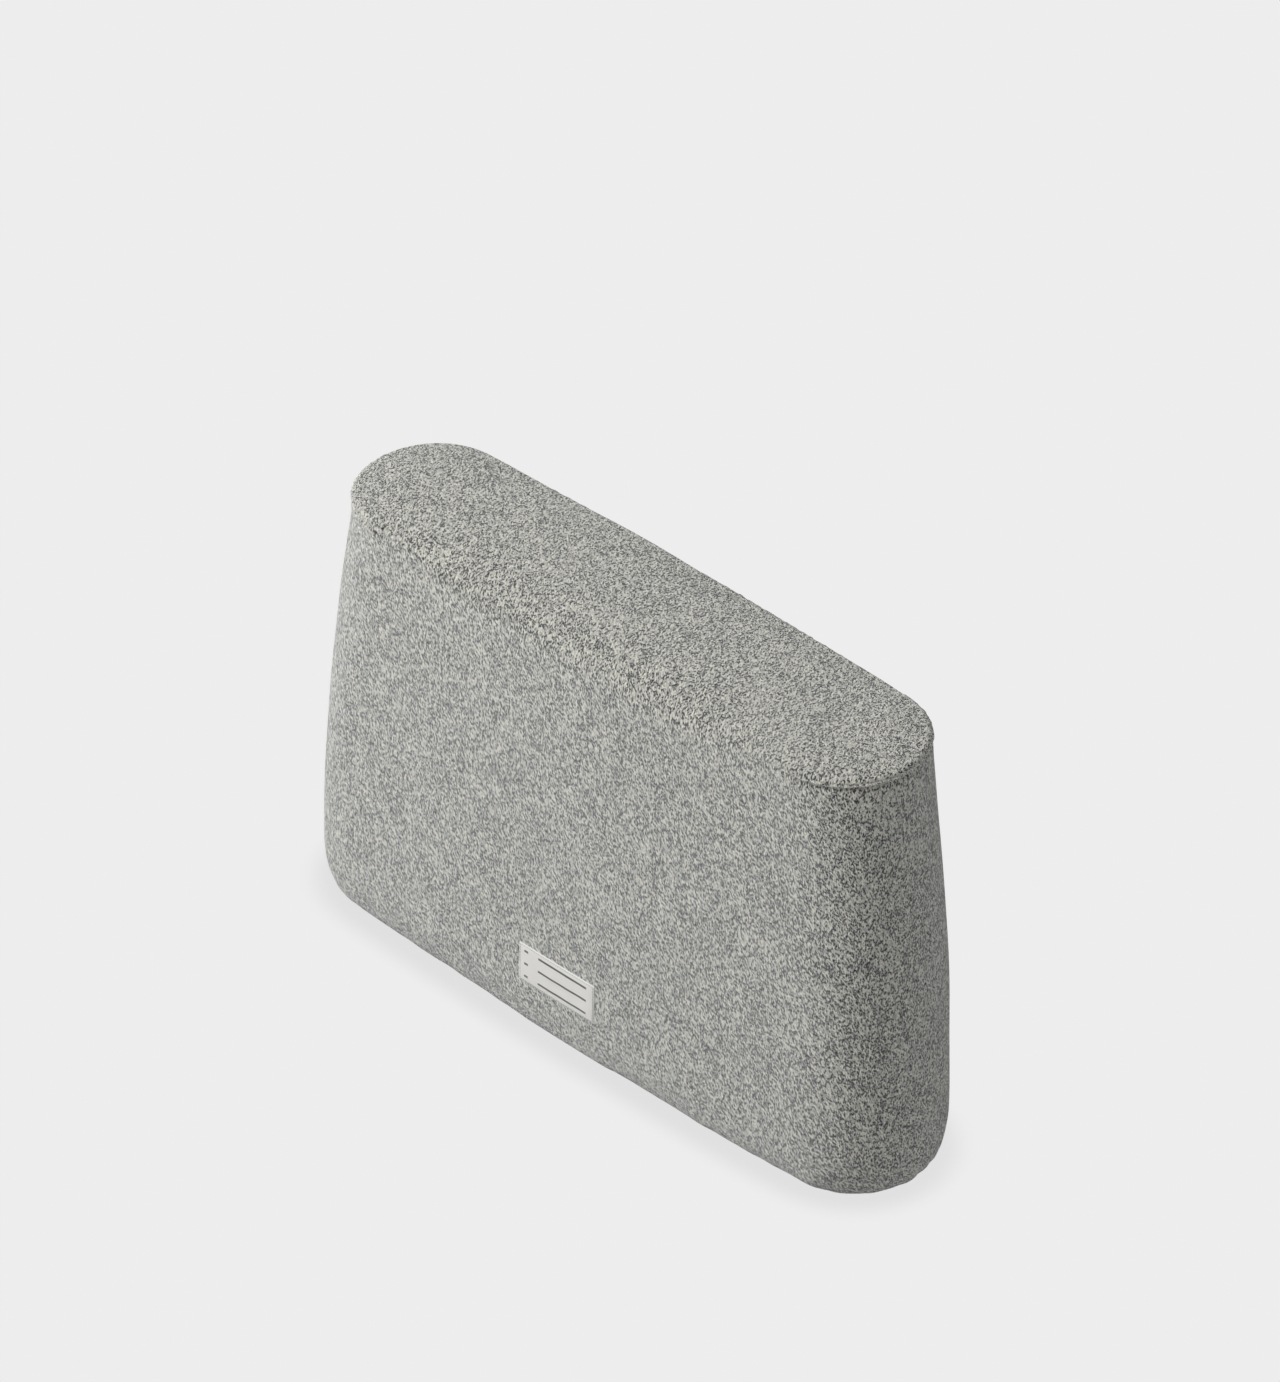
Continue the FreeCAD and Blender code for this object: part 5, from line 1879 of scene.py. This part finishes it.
@dataclass
class Filling:
    """What the cover holds: the cotton liner, the fibre wrap, the foam and the weighted base."""

    form: CushionForm
    liner_inset: float = 0.0044
    liner_cloth: float = 0.0006
    wrap_inset: float = 0.0060
    wrap_depth: float = 0.006
    lumps: float = 0.0009

    def bag(self, name: str, inset: float, lumps: float, finish: Finish) -> bpy.types.Object:
        """A closed soft bag above the weighted base, inside the cover's form.

        Args:
            name: The piece's name.
            inset: How far inside the form.
            lumps: Height of its unevenness.
            finish: Its material.

        Returns:
            The bag.
        """
        columns = Columns.whole(np.linspace(-1, 1, 73), 2, 36)
        start = (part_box("inner_liner")[0].z + inset - self.form.belly) / (self.form.rim - self.form.belly)
        rows = Rows.of({Zone.WALL: np.linspace(start, 1, 44), Zone.CROWN: np.linspace(0, 1, 15)[1:]})
        sheet = self.form.sheet(rows, columns, inset)
        uneven = -np.abs(lumps * Ripple(0.03, 91).value(sheet.around, sheet.up))
        sheet.points = sheet.points + uneven[:, :, None] * sheet.normals()
        middle = sheet.points[0].mean(axis=0)
        inner = [sheet.points[0] * (1 - s) + np.column_stack([
            np.clip(sheet.points[0][:, 0], -0.25, 0.25), 0 * sheet.points[0][:, 1],
            0 * sheet.points[0][:, 2] + middle[2]]) * s for s in (1.0, 0.75, 0.4, 0.08)]
        for field_name in ("around", "up", "flap_around", "flap_up"):
            grid = getattr(sheet, field_name)
            setattr(sheet, field_name, np.concatenate([np.tile(grid[:1], (4, 1)), grid]))
        sheet.points = np.concatenate([np.stack(inner), sheet.points])
        shown = np.ones((sheet.points.shape[0] - 1, sheet.points.shape[1]), bool)
        piece = patch(name, sheet, shown, finish)
        weld(piece)
        return piece

    def build(self) -> list[bpy.types.Object]:
        """Makes the liner and the wrap.

        Returns:
            Both.
        """
        made = []
        for name, node, inset, lumps, deep, slot in (
                ("inner_liner_bag", "inner_liner", self.liner_inset, 0.0002, self.liner_cloth,
                 "liner_cotton"),
                ("fibre_wrap_layer", "fibre_wrap", self.wrap_inset, self.lumps, self.wrap_depth, "wadding")):
            piece = self.bag(name, inset, lumps, FINISHES[slot])
            thicken(piece, deep)
            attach(piece, "cushion")
            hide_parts(node)
            made.append(piece)
        return made


def dress_frame() -> None:
    """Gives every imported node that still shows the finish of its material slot."""
    named = {row["node"]: row["material_slot"] for row in frame["record"]["subparts"]}
    for name, node in frame["nodes"].items():
        finish = FIRM_FOAM if name == "foot_foam_tray" else FINISHES[named[name]]
        node.data.materials.clear()
        node.data.materials.append(finish.material())
        log.info("%s: %s", name, finish.name)


# ---------------------------------------------------------------- studio


@dataclass
class Studio:
    """Pale floor with a painted contact shadow, soft light and the camera."""

    azimuth: float = 44.5
    elevation: float = 36.9
    distance: float = 8.79
    lens: float = 258.0
    aim_right: float = 0.0083
    aim_up: float = 0.1075
    target_height: float = 0.222
    backdrop: float = 0.847
    sky: float = 0.50              # light of the room on the cushion
    bounce: float = 0.50           # light of the floor on the cushion
    key_power: float = 146.0
    floor_reach: float = 30.0
    # reach of the floor's painted contact shadow
    painted_shadow_reach: float = 0.036

    def camera(self) -> None:
        """Makes the camera and sets it as the scene's."""
        turn, rise = math.radians(self.azimuth), math.radians(self.elevation)
        back = Vector((math.sin(turn) * math.cos(rise), -math.cos(turn) * math.cos(rise), math.sin(rise)))
        right = Vector((math.cos(turn), math.sin(turn), 0.0))
        up = back.cross(right)
        data = bpy.data.cameras.new("camera")
        data.lens, data.sensor_width = self.lens, 36.0
        data.clip_start, data.clip_end = 0.1, 100.0
        camera = bpy.data.objects.new("camera", data)
        bpy.context.scene.collection.objects.link(camera)
        target = Vector((0.0, 0.0, self.target_height))
        camera.location = target + back * self.distance + right * self.aim_right + up * self.aim_up
        camera.rotation_mode = "QUATERNION"
        camera.rotation_quaternion = (-back).to_track_quat("-Z", "Y")
        bpy.context.scene.camera = camera

    def floor(self) -> bpy.types.Object:
        """Makes the floor, an even pale sheet with a painted contact shadow where something stands close.

        Returns:
            The floor, staged.
        """
        made = bpy.data.materials.new("studio_floor")
        made.use_nodes = True
        tree = Tree(made.node_tree)
        # Painted contact shadow: ambient occlusion dims the floor's glow close to the cushion.
        near = tree.add("ShaderNodeAmbientOcclusion", {"Distance": self.painted_shadow_reach})
        painted_shadow_ao = near.outputs["AO"]
        level = tree.spread(painted_shadow_ao, 0.45, 1.0, 0.88, 1.0)
        seen = tree.add("ShaderNodeLightPath").outputs["Is Camera Ray"]
        strength = tree.math("MULTIPLY", level, tree.spread(seen, 0.0, 1.0, self.bounce, self.backdrop))
        glow = tree.add("ShaderNodeEmission", {"Color": (1.0, 1.0, 1.0, 1.0), "Strength": strength})
        tree.add("ShaderNodeOutputMaterial", {"Surface": glow.outputs[0]})
        steps = np.array([-1.0, -0.2, -0.05, 0.0, 0.05, 0.2, 1.0]) * self.floor_reach
        grid = np.stack(np.meshgrid(steps, steps), axis=2).reshape(-1, 2)
        points = np.column_stack([grid, np.full(len(grid), -0.0002)])
        count = len(steps)
        faces = [(i * count + j, i * count + j + 1, (i + 1) * count + j + 1, (i + 1) * count + j)
                 for i in range(count - 1) for j in range(count - 1)]
        mesh = bpy.data.meshes.new("studio_floor")
        mesh.from_pydata(points.tolist(), [], faces)
        mesh.materials.append(made)
        floor = bpy.data.objects.new("studio_floor", mesh)
        bpy.context.scene.collection.objects.link(floor)
        return floor

    def light(self, name: str, direction: tuple[float, float, float], power: float, width: float,
              colour: tuple[float, float, float]) -> None:
        """Makes a large soft lamp.

        Args:
            name: The lamp's name.
            direction: From the cushion towards the lamp.
            power: Its power in watts.
            width: Its width in metres.
            colour: Its colour.
        """
        data = bpy.data.lights.new(name, "AREA")
        data.shape, data.size, data.energy, data.color = "DISK", width, power, colour
        lamp = bpy.data.objects.new(name, data)
        towards = Vector(direction).normalized()
        lamp.location = Vector((0.0, 0.0, 0.2)) + towards * 4.0
        lamp.rotation_mode = "QUATERNION"
        lamp.rotation_quaternion = (-towards).to_track_quat("-Z", "Y")
        bpy.context.scene.collection.objects.link(lamp)

    def world(self) -> None:
        """Makes the room: its light is dimmer than the backdrop that the camera sees."""
        scene = bpy.context.scene
        world = bpy.data.worlds.new("studio")
        world.use_nodes = True
        tree = Tree(world.node_tree)
        seen = tree.add("ShaderNodeLightPath").outputs["Is Camera Ray"]
        strength = tree.spread(seen, 0.0, 1.0, self.sky, self.backdrop)
        room = tree.add("ShaderNodeBackground", {"Color": (1.0, 1.0, 1.0, 1.0), "Strength": strength})
        tree.add("ShaderNodeOutputWorld", {"Surface": room.outputs[0]})
        scene.world = world
        scene.view_settings.view_transform = "Standard"

    def build(self) -> None:
        """Makes the whole studio."""
        self.camera()
        self.floor()
        self.world()
        self.light("key", (-0.32, -0.42, 0.44), self.key_power, 2.2, (1.0, 0.995, 0.98))


# ---------------------------------------------------------------- everything


def main() -> None:
    """Builds each sub-assembly in turn, from the cover inward, and then the studio."""
    logging.basicConfig(level=logging.INFO, format="%(name)s: %(message)s")
    dress_frame()
    form = CushionForm.from_frame()
    cover = Cover(form)
    for assembly in (cover, Seams(form), Label(form), Zip(cover), Underside(form), Filling(form)):
        for piece in assembly.build():
            log.info("%s: %d faces", piece.name, len(piece.data.polygons))
    Studio().build()
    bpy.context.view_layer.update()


if __name__ == "__main__":
    main()
